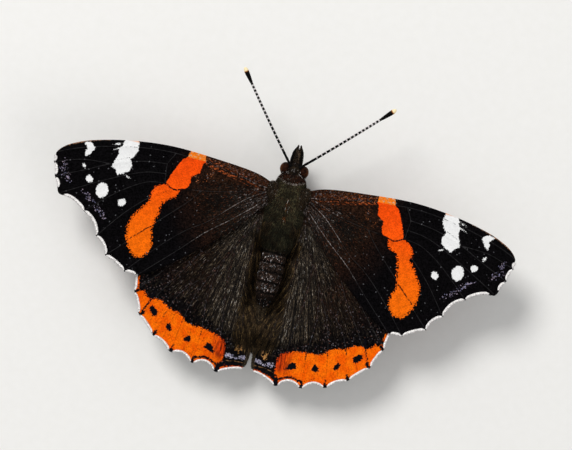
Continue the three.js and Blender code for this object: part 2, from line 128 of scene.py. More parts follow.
HINDWING = {
    "front": [
        (1.7, -0.4), (4.4, -0.1), (8.5, -2.0), (13.0, -5.7), (16.5, -9.9), (18.1, -12.6), (18.4, -13.5),
    ],
    "ends": [
        (18.4, -13.5, 0.05, -0.3),
        (17.95, -16.15, 0.1, 0.2),
        (16.65, -19.1, 0.09, 0.3),
        (14.1, -21.55, 0.29, 0.26),
        (11.2, -23.35, 0.7, 0.34),
        (7.9, -24.25, 0.93, 0.28),
        (4.35, -24.75, 0.2, 0.38),
        (0.72, -23.45, 0.0, 0.0),
    ],
    "back": [
        (0.72, -23.45), (0.42, -22.9), (0.26, -22.3), (0.14, -21.4), (0.12, -20.6), (0.16, -17),
        (0.26, -14.5), (0.6, -12.5), (1.1, -8.5), (1.4, -5.6), (1.5, -3.4),
    ],
    "veins": [
        [(3.2, -1.3), (7.6, -2.9), (12, -6.5), (15.2, -10), (17.6, -13.2)],
        [(7.6, -2.9), (10.5, -7.0), (14, -11.6), (17.9, -16.1)],
        [(9.0, -6.0), (11.0, -10.2), (14.0, -14.8), (16.55, -19.1)],
        [(9.6, -12.6), (11.8, -15.2), (13.3, -18.8), (14.05, -21.5)],
        [(3.2, -2.2), (5.2, -6.0), (7.4, -10.2), (9.6, -15), (10.6, -19.5), (11.15, -23.3)],
        [(7.0, -9.4), (7.8, -14), (7.6, -19.5), (7.85, -24.2)],
        [(5.6, -6.8), (5.6, -12), (4.9, -18), (4.3, -24.7)],
        [(3.0, -3.0), (3.3, -8), (2.7, -14), (1.6, -20), (1.2, -23.1)],
    ],
    "root": (2.6, -1.2),
    "inset": (0.06, 0.16),
    "fringe": 0.26,
}

# Upper side of the forewing: edges of its coloured marks
BAND_TOP = [
    (12.45, 4.9), (14.6, 4.95), (14.95, 3.75), (15.5, 3.4), (16.15, 2.0), (16.65, 0.8), (17.0, -0.3),
    (16.95, -0.62), (15.8, -1.0), (14.4, -0.72), (13.95, -0.3), (13.7, 0.6), (13.85, 1.25), (13.3, 1.65),
    (12.8, 2.0), (12.6, 3.4), (12.3, 3.7),
]
BAND_LOW = [
    (15.2, -0.6), (16.4, -0.75), (17.3, -0.5), (18.4, -1.2), (18.8, -2.3), (18.7, -3.2), (19.3, -4.0),
    (20.0, -5.0), (20.7, -6.2), (20.95, -7.5), (20.75, -9.1), (20.4, -9.9), (20.0, -10.6), (19.4, -11.2),
    (18.8, -11.4), (18.0, -11.2), (17.3, -10.5), (17.0, -9.5), (17.1, -8.5), (17.5, -7.2), (17.35, -6.2),
    (17.2, -5.5), (17.0, -4.5), (16.9, -3.3), (16.3, -2.7), (15.2, -2.0), (14.95, -1.1),
]
WHITE_BAR = [
    (22.0, 4.6), (23.6, 4.5), (24.0, 3.8), (23.95, 3.3), (24.4, 2.9), (24.3, 2.0), (24.65, 1.0), (24.9, 0.15),
    (24.3, -0.1), (23.85, -0.78), (23.2, -0.45), (22.35, 0.1), (22.15, 0.9), (22.6, 1.75), (22.1, 2.4),
    (21.75, 3.2),
]
WHITE_WEDGE = [
    (27.6, 2.1), (28.0, 2.5), (28.55, 2.8), (29.4, 2.62), (28.95, 2.2), (28.6, 1.78), (28.9, 1.5),
    (28.75, 0.7), (28.35, 1.0), (28.05, 1.45),
]
APEX_ZONE = [(27, 5), (34, 3), (34, -6), (30.5, -5.5), (28.5, -2.0), (26.5, 2.0)]

# Each spot: its middle, half its length, half its width, and its turn in degrees
WHITE_SPOTS = [
    (28.6, -0.6, 0.33, 0.2, 60),
    (27.5, -2.2, 0.52, 0.46, 40),
    (25.43, -3.38, 1.04, 0.84, 88),
    (22.4, -4.4, 0.58, 0.48, -55),
    (22.45, -0.72, 0.34, 0.1, 20),
    (24.6, 3.45, 0.5, 0.09, -20),
    (24.7, 2.75, 0.4, 0.08, -25),
]
LILAC_DUST = [
    (31.2, -1.0, 0.35, 0.2, 70), (30.6, -2.6, 0.45, 0.26, 45), (31.3, -2.0, 0.35, 0.16, 70),
    (27.0, -4.75, 0.5, 0.16, 35), (25.15, -6.35, 0.55, 0.16, 35),
]

# Each stroke: its line and half its width
FOREWING_INK = [
    ([(13.4, -0.5), (14.3, -0.66), (15.8, -1.0), (17.0, -0.45), (17.6, -0.4)], 0.13),
    ([(16.2, -1.2), (17.4, -1.9), (18.6, -2.7)], 0.03),
    ([(17.5, -6.6), (18.4, -7.3), (19.3, -8.2), (20.3, -9.15), (21.2, -10.3)], 0.1),
    ([(21.9, 3.62), (23.9, 3.15)], 0.04),
    ([(22.7, 1.95), (24.4, 1.2)], 0.04),
    ([(22.0, -0.15), (23.2, -0.95)], 0.06),
]
FOREWING_SILVER = [
    ([(3.2, 1.6), (4.4, 0.9), (5.6, 0.05), (7.0, -1.2), (8.6, -2.8)], 0.055),
    ([(3.5, 0.0), (5.1, -1.5), (7.2, -3.4), (10.2, -5.9), (12.0, -7.7)], 0.045),
    ([(5.2, -2.3), (6.6, -4.0), (7.8, -5.2)], 0.035),
    ([(3.2, 2.2), (4.2, 2.3), (5.2, 2.4)], 0.06),
    ([(3.3, 1.9), (4.5, 1.7), (6.4, 0.97), (8.5, 0.45)], 0.045),
]
RUST_ZONE = [
    (3.4, 2.3), (6.0, 2.5), (9.0, 3.0), (12.6, 3.65), (12.6, 4.75), (9.0, 4.35), (5.0, 3.8), (3.0, 3.0),
]
RUST_LINES = [
    ([(12.7, 3.75), (10.5, 3.22), (8.5, 2.8), (6.4, 2.5), (4.2, 1.95)], 0.055),
    ([(12.5, 3.5), (10.5, 2.97), (8.5, 2.52), (6.8, 2.2), (5.6, 1.8)], 0.035),
    ([(11.9, 4.15), (9.6, 3.62), (7.4, 3.25), (5.4, 2.9)], 0.03),
]
RUST_DABS = [(11.3, 2.3, 0.75, 0.22, -70), (12.9, 1.15, 0.5, 0.16, 55), (4.8, 1.3, 0.9, 0.25, -40)]

# Upper side of the hindwing
HIND_BAND = [
    (17.95, -15.2), (17.2, -15.9), (16.6, -15.75), (16.2, -16.35), (15.5, -16.7), (14.9, -16.45),
    (13.8, -16.6), (12.85, -17.3), (11.55, -17.6), (10.35, -18.15), (9.85, -18.8), (8.7, -19.0),
    (7.6, -19.05), (6.35, -19.25), (5.3, -19.55), (4.3, -19.95), (3.8, -20.7), (3.6, -21.6), (3.5, -22.5),
    (4.2, -23.2), (3.6, -24.9), (8.0, -25.0), (12.0, -24.0), (15.5, -21.4), (17.8, -18.5), (18.8, -15.6),
]
HIND_STRIP = [(17.75, -13.9), (18.4, -14.0), (18.5, -15.3), (17.55, -15.2)]
HIND_DOTS = [
    [
        (15.1, -17.5), (15.4, -17.95), (15.05, -18.5), (14.7, -18.9), (14.2, -18.85), (14.0, -18.3),
        (14.45, -17.75),
    ],
    [(12.05, -19.35), (12.5, -19.5), (12.5, -20.1), (11.85, -20.55), (11.65, -20.3), (11.85, -19.75)],
    [(9.1, -20.4), (9.6, -20.8), (9.85, -21.3), (8.8, -21.45), (8.7, -21.05), (8.9, -20.55)],
    [
        (5.87, -20.9), (6.4, -20.85), (6.72, -21.6), (5.5, -22.08), (4.9, -21.98), (5.41, -21.66),
        (5.45, -21.2),
    ],
]
HIND_INK = [
    ([(15.1, -15.4), (15.45, -16.7), (15.85, -17.7), (16.3, -18.7), (16.6, -19.3)], 0.14),
    ([(16.1, -18.6), (16.45, -19.4)], 0.26),
    ([(12.6, -17.0), (12.95, -17.9), (13.2, -18.6)], 0.05),
    ([(13.7, -20.7), (14.0, -21.3)], 0.1),
    ([(13.85, -21.1), (14.15, -21.8)], 0.28),
    ([(10.35, -17.9), (10.5, -19.0)], 0.06),
    ([(10.95, -22.2), (11.1, -23.2)], 0.11),
    ([(11.1, -23.0), (11.15, -23.6)], 0.32),
    ([(7.5, -18.9), (7.55, -20.0)], 0.05),
    ([(7.85, -24.3), (7.8, -23.3), (7.1, -23.15), (6.4, -22.95), (5.75, -23.05), (5.0, -23.35), (4.1, -23.8)],
     0.19),
    ([(7.85, -23.85), (7.9, -24.5)], 0.28),
    ([(4.3, -24.9), (4.2, -23.6)], 0.46),
    ([(4.3, -23.85), (3.3, -23.38), (2.4, -23.15), (1.4, -23.02), (0.2, -22.92)], 0.21),
    ([(2.55, -23.4), (2.6, -24.2)], 0.14),
    ([(17.45, -15.8), (17.95, -16.3)], 0.27),
    ([(0.1, -20.8), (0.12, -22.2), (0.3, -23.0)], 0.2),
]
HIND_FOLDS = [
    ([(11.6, -17.7), (12.2, -19.8), (12.65, -22.4)], 0.055),
    ([(11.75, -20.4), (12.1, -22.6)], 0.035),
    ([(13.0, -18.6), (13.45, -19.9), (13.9, -21.2)], 0.035),
    ([(14.6, -19.0), (15.3, -20.5)], 0.04),
    ([(10.45, -18.8), (10.75, -20.4), (11.0, -22.4)], 0.04),
    ([(8.95, -18.9), (9.05, -20.2), (9.5, -22.9)], 0.045),
    ([(7.55, -19.8), (7.7, -21.5), (7.8, -23.2)], 0.04),
    ([(5.7, -21.6), (5.8, -22.5)], 0.04),
    ([(7.9, -23.2), (8.7, -22.72), (9.55, -22.3)], 0.07),
]
HIND_PATCH = [
    (0.1, -21.0), (1.4, -20.95), (2.6, -20.9), (3.6, -21.15), (3.8, -22.2), (3.65, -22.8), (2.0, -22.95),
    (0.1, -22.9),
]
HIND_HEM = [(0.4, -23.0), (2.2, -23.1), (3.3, -23.4), (4.0, -23.7), (4.0, -24.5), (2.4, -24.0), (0.5, -23.6)]
HIND_LILAC = [
    (3.2, -21.98, 0.3, 0.26, 20), (2.7, -21.98, 0.26, 0.22, -10), (1.25, -21.9, 0.26, 0.22, 0),
    (0.75, -21.85, 0.24, 0.16, 20), (2.0, -22.15, 0.22, 0.08, 0),
]
HIND_TAN = [(1.95, -20.8, 0.28, 0.42, 0), (1.6, -20.6, 0.16, 0.2, 0)]
HIND_TAN_LINE = [([(0.3, -22.62), (1.8, -22.6), (2.7, -22.66), (3.5, -22.85)], 0.055)]
HIND_SILVER = [
    ([(3.2, -1.4), (3.5, -2.6), (4.0, -4.6), (4.4, -6.0)], 0.05),
    ([(4.2, -1.6), (5.6, -3.4), (7.4, -5.6)], 0.035),
]
HIND_PALE_SPOT = [(9.3, -4.4, 1.3, 0.9, -40)]

# Where the hair of each wing fans out from, and the hindwing hair's colours from dark to light
FOREWING_HAIR_ROOT = (1.5, 2.0)
HINDWING_HAIR_ROOT = (3.4, -0.5)
HINDWING_SHADES = {0.0: "070606", 0.45: "1c1612", 0.75: "433a31", 1.0: "7d6d56", 1.2: "b4ada2"}

# Body: rings of y, half width, half height and height of the middle, inside the coat
BODY_RINGS = [
    (-14.2, 0.2, 0.18, 5.62), (-14.0, 0.62, 0.56, 5.62), (-13.3, 1.1, 1.0, 5.66), (-12.4, 1.38, 1.26, 5.72),
    (-11.2, 1.6, 1.46, 5.8), (-10.0, 1.72, 1.57, 5.88), (-8.8, 1.76, 1.62, 5.96), (-7.6, 1.72, 1.58, 6.04),
    (-6.4, 1.6, 1.48, 6.1), (-5.6, 1.45, 1.36, 6.12), (-5.2, 1.55, 1.4, 6.1), (-4.7, 2.0, 1.75, 6.08),
    (-3.2, 2.55, 2.25, 6.15), (-1.4, 2.8, 2.62, 6.28), (0.6, 2.85, 2.62, 6.35), (2.2, 2.7, 2.2, 6.32),
    (3.1, 2.25, 1.8, 6.27), (3.7, 2.0, 1.65, 6.2), (4.2, 1.9, 1.5, 6.15), (4.7, 1.45, 1.15, 6.1),
    (5.0, 1.15, 1.15, 6.08), (5.5, 1.12, 1.3, 6.05), (6.1, 0.9, 0.98, 6.0), (6.4, 0.5, 0.5, 6.0),
    (6.5, 0.12, 0.12, 6.0),
]
SEGMENT_GROOVES = [-6.45, -7.8, -9.2, -10.7, -12.2, -13.4]
ABDOMEN_AXIS_Z = 5.9
GROOVE = {"width": 0.13, "narrowing": 0.11, "flattening": 0.13}
COLLAR_GROOVE = {"behind": 0.12, "width": 0.16, "depth": 0.16, "above": 6.6}
THORAX_CREST = [(0.2, 0.6, 0.8, 0.24, 95), (0.25, -1.3, 0.45, 0.22, 90)]
HEAD_TUFTS = [(0.1, 5.55, 0.5, 0.25, 0), (-0.55, 5.2, 0.3, 0.16, 30), (0.75, 5.1, 0.3, 0.16, -30)]
GLINT_PATCHES = 190

# The body's unwrap runs round this height, and along it from this end
BODY_AXIS_Z = 6.1
BODY_REAR_Y = -15
BODY_LENGTH = 25

EYE = {"middle": (1.29, 5.5, 6.12), "half": (0.77, 0.9, 1.05), "rim": 0.55, "drawn_in": 0.35}
SHOULDER = {"middle": (2.15, 1.7, 7.7), "half": (0.78, 1.65, 0.68), "turn": 9}

WALKING_LEG_RADII = (0.44, 0.4, 0.33, 0.23, 0.18, 0.15, 0.14, 0.12)
MID_LEG = {
    "line": [
        (0.9, -0.2, 4.4), (1.7, 0.2, 3.0), (3.3, 0.6, 3.9), (5.0, 1.0, 4.5), (5.9, 1.4, 3.4), (7.2, 2.0, 0.9),
        (8.4, 2.5, 0.17), (10.6, 3.3, 0.12),
    ],
    "radii": WALKING_LEG_RADII,
}
HIND_LEG = {
    "line": [
        (0.9, -2.4, 4.4), (1.8, -3.0, 3.0), (3.2, -4.2, 3.8), (4.6, -5.5, 4.3), (5.3, -6.6, 3.3),
        (6.5, -8.8, 0.9), (7.0, -10.0, 0.17), (7.9, -12.8, 0.12),
    ],
    "radii": WALKING_LEG_RADII,
}
FORE_LEG = {
    "line": [(0.8, 2.4, 4.6), (1.1, 3.0, 3.5), (1.3, 4.0, 3.0), (1.25, 5.2, 3.0), (1.15, 6.2, 3.5)],
    "radii": (0.3, 0.28, 0.24, 0.18, 0.12),
}
LEG_JOINTS = (0.2, 0.46, 0.72, 0.79, 0.86, 0.93)

FEELER_ROOT = (0.6, 5.95, 6.9)
FEELER_TIPS = {"left": (-9.95, 17.8, 10.4), "right": (11.9, 16.84, 10.6)}
FEELER_BOWS = {"left": (-0.16, 0.02, 0.0), "right": (0.0, -0.15, 0.0)}
FEELER_RADIUS = 0.17
CLUB_RADIUS = 0.325
CLUB_START = 0.84
FEELER_RINGS = 24
FEELER_RING_GAIN = 1.25
PALP = {
    "line": [(0.48, 5.7, 4.9), (0.47, 6.9, 5.1), (0.4, 7.9, 5.6), (0.19, 9.05, 6.4)],
    "radii": (0.3, 0.36, 0.3, 0.08),
}
PALP_TIP_Y = 9.15
TONGUE = {"middle": (6.35, 3.35), "outer": 1.25, "inner": 0.45, "turns": 1.65, "radius": 0.2}

rng = np.random.default_rng(7)


# Camera and lights

def add_object(name, data):
    made = bpy.data.objects.new(name, data)
    bpy.context.scene.collection.objects.link(made)
    return made


def add_camera():
    """Looks straight down, turned so that the animal leans as in its portrait."""
    data = bpy.data.cameras.new("camera")
    data.lens = CAMERA["lens"]
    data.sensor_width = CAMERA["sensor"]
    data.clip_start = 0.01
    camera = add_object("camera", data)
    camera.location = [size * MM for size in CAMERA["place"]]
    camera.rotation_euler = (0, 0, math.radians(CAMERA["lean"]))
    bpy.context.scene.camera = camera


def add_light(name, place, size, power):
    """A round soft light that faces the model. Its place and size are in metres."""
    data = bpy.data.lights.new(name, "AREA")
    data.shape = "DISK"
    data.size = size
    data.energy = power
    light = add_object(name, data)
    light.location = place
    light.rotation_euler = Vector(place).to_track_quat("Z", "Y").to_euler()


def add_world():
    """Even, faintly cool light from all round."""
    world = bpy.data.worlds.new("studio")
    world.use_nodes = True
    background = world.node_tree.nodes["Background"]
    background.inputs["Color"].default_value = (0.95, 0.97, 1.0, 1)
    background.inputs["Strength"].default_value = 0.48
    bpy.context.scene.world = world
    bpy.context.scene.view_settings.view_transform = "Standard"


# Materials

def linear(code):
    """The shader's colour for one written as six hexadecimal digits."""
    parts = [int(code[i:i + 2], 16) / 255 for i in (0, 2, 4)]
    return tuple(p / 12.92 if p <= 0.04045 else ((p + 0.055) / 1.055) ** 2.4 for p in parts)


class Finish:
    """A material and short ways to build its nodes. Colours are written as six hexadecimal digits."""

    def __init__(self, name, roughness, specular):
        self.material = bpy.data.materials.new(name)
        self.material.use_nodes = True
        self.tree = self.material.node_tree
        self.shader = self.tree.nodes["Principled BSDF"]
        self.shader.inputs["Roughness"].default_value = roughness
        self.shader.inputs["Specular IOR Level"].default_value = specular

    def feed(self, socket, value):
        """Links an input to another node's output, or sets it."""
        if isinstance(value, bpy.types.NodeSocket):
            self.tree.links.new(value, socket)
        elif isinstance(value, str):
            socket.default_value = (*linear(value), 1)[:len(socket.default_value)]
        else:
            socket.default_value = value

    def node(self, kind, inputs=None, **settings):
        made = self.tree.nodes.new(kind)
        for key, value in settings.items():
            setattr(made, key, value)
        for key, value in (inputs or {}).items():
            self.feed(made.inputs[key], value)
        return made

    def calc(self, operation, first, second=0.0):
        return self.node("ShaderNodeMath", {0: first, 1: second}, operation=operation).outputs[0]

    def times(self, first, second):
        return self.calc("MULTIPLY", first, second)

    def ramp(self, value, low, high, start=0.0, end=1.0):
        """Runs from start to end as the value runs from low to high."""
        inputs = {"Value": value, "From Min": low, "From Max": high, "To Min": start, "To Max": end}
        return self.node("ShaderNodeMapRange", inputs, clamp=True).outputs[0]

    def mix(self, share, first, second):
        return self.node("ShaderNodeMix", {0: share, 6: first, 7: second}, data_type="RGBA").outputs[2]

    def shaded(self, colour, factor):
        return self.node("ShaderNodeVectorMath", {0: colour, "Scale": factor}, operation="SCALE").outputs[0]

    def value(self, name, output="Fac"):
        """What a mesh knows about each of its places under this name."""
        return self.node("ShaderNodeAttribute", attribute_name=name).outputs[output]

    def place(self, scale=(1000, 1000, 1000), turn=0.0):
        """Object coordinates, in millimetres unless scaled otherwise."""
        coords = self.node("ShaderNodeTexCoord").outputs["Object"]
        inputs = {"Vector": coords, "Scale": scale, "Rotation": (0, 0, turn)}
        return self.node("ShaderNodeMapping", inputs).outputs[0]

    def noise(self, vector, scale, detail=2.0, rough=0.5):
        inputs = {"Vector": vector, "Scale": scale, "Detail": detail, "Roughness": rough}
        return self.node("ShaderNodeTexNoise", inputs).outputs["Fac"]

    def finish(self, colour, height, depth):
        """Ends the material with its colour and a relief of the given depth in millimetres."""
        self.feed(self.shader.inputs["Base Color"], colour)
        bump = self.node("ShaderNodeBump", {"Height": height, "Distance": depth * MM, "Strength": 1.0})
        self.feed(self.shader.inputs["Normal"], bump.outputs[0])
        return self.material


class ScaledFinish(Finish):
    """A wing's finish of tiny scales. Each has three random values, and a distance from its middle."""

    def __init__(self, name, roughness, specular, turn):
        super().__init__(name, roughness, specular)
        self.spot = self.place(turn=turn)
        inputs = {"Vector": self.spot, "Scale": SCALES_TO_A_MM}
        cells = self.node("ShaderNodeTexVoronoi", inputs, voronoi_dimensions="2D").outputs
        parts = self.node("ShaderNodeSeparateColor", {0: cells["Color"]}).outputs
        self.first, self.second, self.third = parts
        self.middle = cells["Distance"]

    def varied(self, colour, low, high):
        """The colour made darker or lighter from scale to scale."""
        return self.shaded(colour, self.ramp(self.first, 0.0, 1.0, low, high))

    def blotches(self, scale, detail, low, high, start=0.0, end=1.0):
        """Uneven patches that run from start to end."""
        return self.ramp(self.noise(self.spot, scale, detail), low, high, start, end)

    def inside(self, mark, chance, ragged):
        """1 within a mark's edge, with single scales strayed across it."""
        stray = self.times(self.calc("SUBTRACT", chance, 0.5), ragged)
        return self.ramp(self.calc("ADD", self.value(mark), stray), -EDGE_SOFTNESS, EDGE_SOFTNESS)

    def streaks(self):
        """Fine lines that run out from the wing root."""
        along = self.times(self.value("reach"), 0.35)
        vector = self.node("ShaderNodeCombineXYZ", {0: self.value("turn"), 1: along}).outputs[0]
        return self.noise(vector, 5.5, 3.0, 0.6)

    def scaled(self, colour):
        """Ends the material with scales that lie a little unevenly."""
        return self.finish(colour, self.calc("ADD", self.middle, self.first), SCALE_RELIEF)


def dark_ground(look):
    """The ground of a wing's upper side: brown near the root, black farther out, scale by scale, with a few
    scales painted pale grey as glints.
    """
    brown = look.times(look.value("brown"), look.blotches(0.35, 2.0, 0.3, 0.65, 0.55, 1.0))
    ground = look.varied(look.mix(brown, "070607", "25160e"), 0.2, 1.9)
    hair = look.times(look.value("hair"), look.ramp(look.streaks(), 0.5, 0.72))
    ground = look.mix(look.times(hair, 0.6), ground, look.mix(look.second, "6a5638", "5c5a55"))
    # Painted highlight: a few scales made pale grey as glints.
    painted_glint = look.times(look.ramp(look.third, 0.994, 0.999), 0.35)
    return veined(look, look.mix(painted_glint, ground, "8d8d90"))


def veined(look, ground):
    """Painted shade in the gutters beside the veins, pale lines painted as highlights along their crests, and
    silvery streaks near the root.
    """
    # Painted shade: darker in the gutters beside the veins near the root.
    vein_shade = look.times(look.ramp(look.value("vein"), 0.08, 0.3, 0.7, 0.0), look.value("brown"))
    ground = look.shaded(ground, look.calc("SUBTRACT", 1.0, vein_shade))
    # Painted highlight: pale lines along the vein crests, broken up unevenly.
    crest = look.ramp(look.value("vein"), 0.01, 0.06, 1.0, 0.0)
    worn = look.times(crest, look.blotches(2.2, 3.0, 0.35, 0.7, 0.25, 1.0))
    ground = look.mix(look.times(worn, 0.2), ground, "6c6a6a")
    broken = look.blotches(3.6, 3.0, 0.42, 0.58, 0.1, 0.85)
    silver = look.times(look.inside("silver", look.third, 0.08), broken)
    return look.mix(silver, ground, look.mix(look.second, "54463f", "b4aeaa"))


def rusty(look, ground, lines):
    """Frost at the forewing's root, and rust-coloured scales, flecks and lines behind its front edge."""
    frost = look.times(look.value("frost"), look.ramp(lines, 0.5, 0.64))
    ground = look.mix(look.times(frost, look.ramp(look.second, 0.2, 0.9, 0.0, 0.7)), ground, "544a46")
    rust = look.times(look.inside("rust", look.third, 0.8), look.ramp(lines, 0.47, 0.58))
    rust = look.times(rust, look.ramp(look.second, 0.3, 0.95, 0.0, 0.95))
    rust = look.times(rust, look.ramp(look.value("reach"), 2.5, 9.0, 0.35, 1.0))
    ground = look.mix(rust, ground, look.mix(look.third, "7c3418", "b26634"))
    grey = look.times(look.inside("rust", look.second, 0.3), look.ramp(look.third, 0.84, 0.96, 0.0, 0.26))
    ground = look.mix(grey, ground, "77777c")
    flecks = look.times(look.value("brown"), look.ramp(look.first, 0.86, 0.97, 0.0, 0.3))
    ground = look.mix(flecks, ground, "5e341f")
    broken = look.blotches(2.4, 3.0, 0.36, 0.52, 0.1, 0.75)
    line = look.times(look.inside("rust_line", look.third, 0.06), broken)
    return look.mix(line, ground, "c05a2a")


def forewing_orange(look, lines):
    """The band's orange, redder in front, yellower behind, and tan along the wing's front edge."""
    orange = look.mix(look.value("warmth"), "fb4f0c", "fb6f0b")
    orange = look.shaded(orange, look.blotches(1.3, 4.0, 0.36, 0.62, 0.86, 1.04))
    front = look.mix(look.ramp(lines, 0.55, 0.62), "f07a1c", "c9b08c")
    orange = look.mix(look.ramp(look.value("costa"), 0.0, 0.12), orange, front)
    return look.varied(orange, 0.74, 1.1)


def forewing_top():
    """Black and brown with the orange band, the white marks and a little lilac dust."""
    look = ScaledFinish("forewing_upper_scales", 0.6, 0.01, turn=0.35)
    lines = look.streaks()
    ground = rusty(look, dark_ground(look), lines)
    band = look.inside("band", look.second, look.value("ragged"))
    colour = look.mix(band, ground, forewing_orange(look, lines))
    white = look.mix(look.ramp(look.value("costa"), -0.1, 0.15), "ecebe9", "e8a070")
    colour = look.mix(look.inside("white", look.third, 0.16), colour, look.varied(white, 0.93, 1.03))
    dust = look.times(look.inside("lilac", look.second, 0.7), look.blotches(3.4, 3.0, 0.46, 0.6))
    colour = look.mix(look.times(dust, 0.75), colour, look.mix(look.first, "8f8fb4", "b9a4ae"))
    colour = look.mix(look.inside("ink", look.third, 0.08), colour, "0c0a0a")
    tan = look.times(look.inside("edge", look.second, 0.15), 0.8)
    return look.scaled(look.mix(tan, colour, "a5795a"))


def hindwing_orange(look):
    """The band's orange, redder towards the body, with sooty scales and brown folds."""
    orange = look.mix(look.blotches(0.9, 4.0, 0.38, 0.62), "f25c04", "ff7208")
    orange = look.mix(look.value("warmth"), orange, "d8420c")
    grain = look.noise(look.place((7000, 900, 1000)), 1.0, 2.0)
    streak = look.times(look.value("warmth"), look.ramp(grain, 0.44, 0.56))
    orange = look.mix(streak, orange, "74220a")
    soot = look.times(look.ramp(look.third, 0.975, 0.985), 0.5)
    orange = look.mix(soot, orange, "4a2008")
    folds = look.times(look.inside("folds", look.third, 0.05), 0.7)
    return look.varied(look.mix(folds, orange, "5a1c06"), 0.7, 1.1)


def hindwing_top():
    """Brown and black, with black dots on the orange hem and lilac dust on the patch at its inner corner."""
    look = ScaledFinish("hindwing_upper_scales", 0.6, 0.01, turn=1.2)
    strewn = look.ramp(look.third, 0.9, 0.98, 0.0, 0.4)
    ground = look.mix(strewn, dark_ground(look), look.mix(look.second, "6b3a22", "77757a"))
    band = look.inside("band", look.second, look.value("ragged"))
    colour = look.mix(band, ground, hindwing_orange(look))
    colour = look.mix(look.inside("patch", look.second, 0.3), colour, "0b090a")
    dust = look.times(look.inside("lilac", look.second, 0.35), look.blotches(4.0, 2.0, 0.36, 0.5, 0.3, 0.9))
    colour = look.mix(dust, colour, look.mix(look.first, "8f8ca8", "c3bccb"))
    colour = look.mix(look.times(look.inside("edge", look.second, 0.5), 0.8), colour, "c08a50")
    colour = look.mix(look.times(look.inside("tan_line", look.third, 0.05), 0.8), colour, "ae7f52")
    return look.scaled(look.mix(look.inside("ink", look.third, 0.2), colour, "0b0b10"))


def marbled(look):
    """The bark-like ground of the lower sides."""
    cloud = look.noise(look.spot, 0.55, 5.0, 0.62)
    veil = look.noise(look.spot, 1.7, 4.0, 0.6)
    colour = look.mix(look.ramp(cloud, 0.38, 0.62), "1a1412", "5a4433")
    colour = look.mix(look.ramp(veil, 0.5, 0.62), colour, "2c2a30")
    colour = look.mix(look.blotches(3.2, 3.0, 0.6, 0.68), colour, "8c745a")
    return look.varied(colour, 0.7, 1.3)


def forewing_under():
    """Black with a pinkish band, blue and white marks, and a marbled tip."""
    look = ScaledFinish("forewing_lower_scales", 0.68, 0.12, turn=0.35)
    black = look.varied("15110f", 0.6, 1.5)
    colour = look.mix(look.ramp(look.value("apex"), -0.2, 0.6), black, marbled(look))
    pink = look.varied(look.mix(look.value("warmth"), "d8504a", "e8683c"), 0.85, 1.05)
    colour = look.mix(look.inside("band", look.second, 0.35), colour, pink)
    colour = look.mix(look.times(look.inside("lilac", look.second, 0.5), 0.8), colour, "7080b0")
    colour = look.mix(look.inside("white", look.third, 0.2), colour, "e4dfd8")
    line = look.ramp(look.value("vein"), 0.03, 0.12, 1.0, 0.0)
    return look.scaled(look.mix(look.times(line, 0.5), colour, "4a3a2e"))


def hindwing_under():
    """Marbled bark brown with dark and pale rows, faint rings, a little blue and one pale spot."""
    look = ScaledFinish("hindwing_lower_scales", 0.7, 0.12, turn=1.2)
    inputs = {"Vector": look.place((300, 1000, 1000), 0.5), "Scale": 0.75, "Detail": 4.0, "Distortion": 1.2}
    rows = look.node("ShaderNodeTexNoise", inputs).outputs["Fac"]
    colour = look.mix(look.ramp(rows, 0.5, 0.6, 0.0, 0.75), marbled(look), "161013")
    colour = look.mix(look.ramp(rows, 0.43, 0.36, 0.0, 0.35), colour, "82694e")
    colour = look.mix(look.times(look.ramp(look.value("band"), -1.2, 0.4), 0.45), colour, "4a3b2e")
    colour = look.mix(look.times(look.ramp(look.value("ink"), -0.35, -0.05), 0.6), colour, "6d5c34")
    colour = look.mix(look.inside("ink", look.third, 0.2), colour, "16161c")
    colour = look.mix(look.times(look.inside("lilac", look.second, 0.4), 0.6), colour, "6c7490")
    colour = look.mix(look.times(look.inside("white", look.second, 0.9), 0.85), colour, "c8ad84")
    line = look.ramp(look.value("vein"), 0.04, 0.14, 1.0, 0.0)
    return look.scaled(look.mix(look.times(line, 0.6), colour, "6a533c"))


def coat_look(name, roughness=0.6, specular=0.08, root=0.5, glint_flecks=0.25, clumped=0.0, grain=6.0):
    """Hair and scales: each has its own dye, with painted shade towards the root, flecks along it that are
    partly painted glints, and uneven clumps.
    """
    look = Finish(name, roughness, specular)
    flecks = look.noise(look.place(), grain, 2.0)
    clumps = look.noise(look.place(), 0.85, 4.0, 0.6)
    # Flecks lighten and darken the dye along each hair, partly as painted glints; the ramp on along paints
    # shade towards the root.
    tone = look.times(look.ramp(flecks, 0.36, 0.64, 1 - glint_flecks, 1 + glint_flecks),
                      look.ramp(look.value("along"), 0.0, 0.7, root, 1.0))
    tone = look.times(tone, look.ramp(clumps, 0.36, 0.64, 1 - clumped, 1 + clumped))
    return look.finish(look.shaded(look.value("dye", "Color"), tone), flecks, 0.01)


def skin_look():
    """Dark hide under the coat, browner on the thorax and black on the abdomen."""
    look = Finish("body_hide", 0.7, 0.1)
    along = look.node("ShaderNodeSeparateXYZ", {0: look.place()}).outputs[1]
    grain = look.noise(look.place(), 3.5, 4.0)
    front = look.mix(look.ramp(grain, 0.35, 0.65), "1d150d", "33281a")
    rear = look.mix(look.ramp(grain, 0.35, 0.65), "0d0a09", "221a16")
    return look.finish(look.mix(look.ramp(along, -2.4, -1.6), rear, front), grain, 0.04)


def eye_look():
    """Dark and mottled, chestnut on the outer side, with fine facets."""
    look = Finish("eye_facets", 0.55, 0.03)
    inputs = {"Vector": look.place(), "Scale": 12.0, "Randomness": 0.75}
    facets = look.node("ShaderNodeTexVoronoi", inputs).outputs["Distance"]
    mottle = look.noise(look.place(), 4.0, 3.0)
    dark = look.mix(look.ramp(mottle, 0.44, 0.58), "3a1d0d", "0c0605")
    colour = look.mix(look.ramp(look.value("outer"), 0.4, 1.0, 0.0, 0.85), dark, "7c4318")
    colour = look.mix(look.ramp(facets, 0.35, 0.6), colour, "180906")
    return look.finish(colour, look.times(facets, -1.0), 0.012)


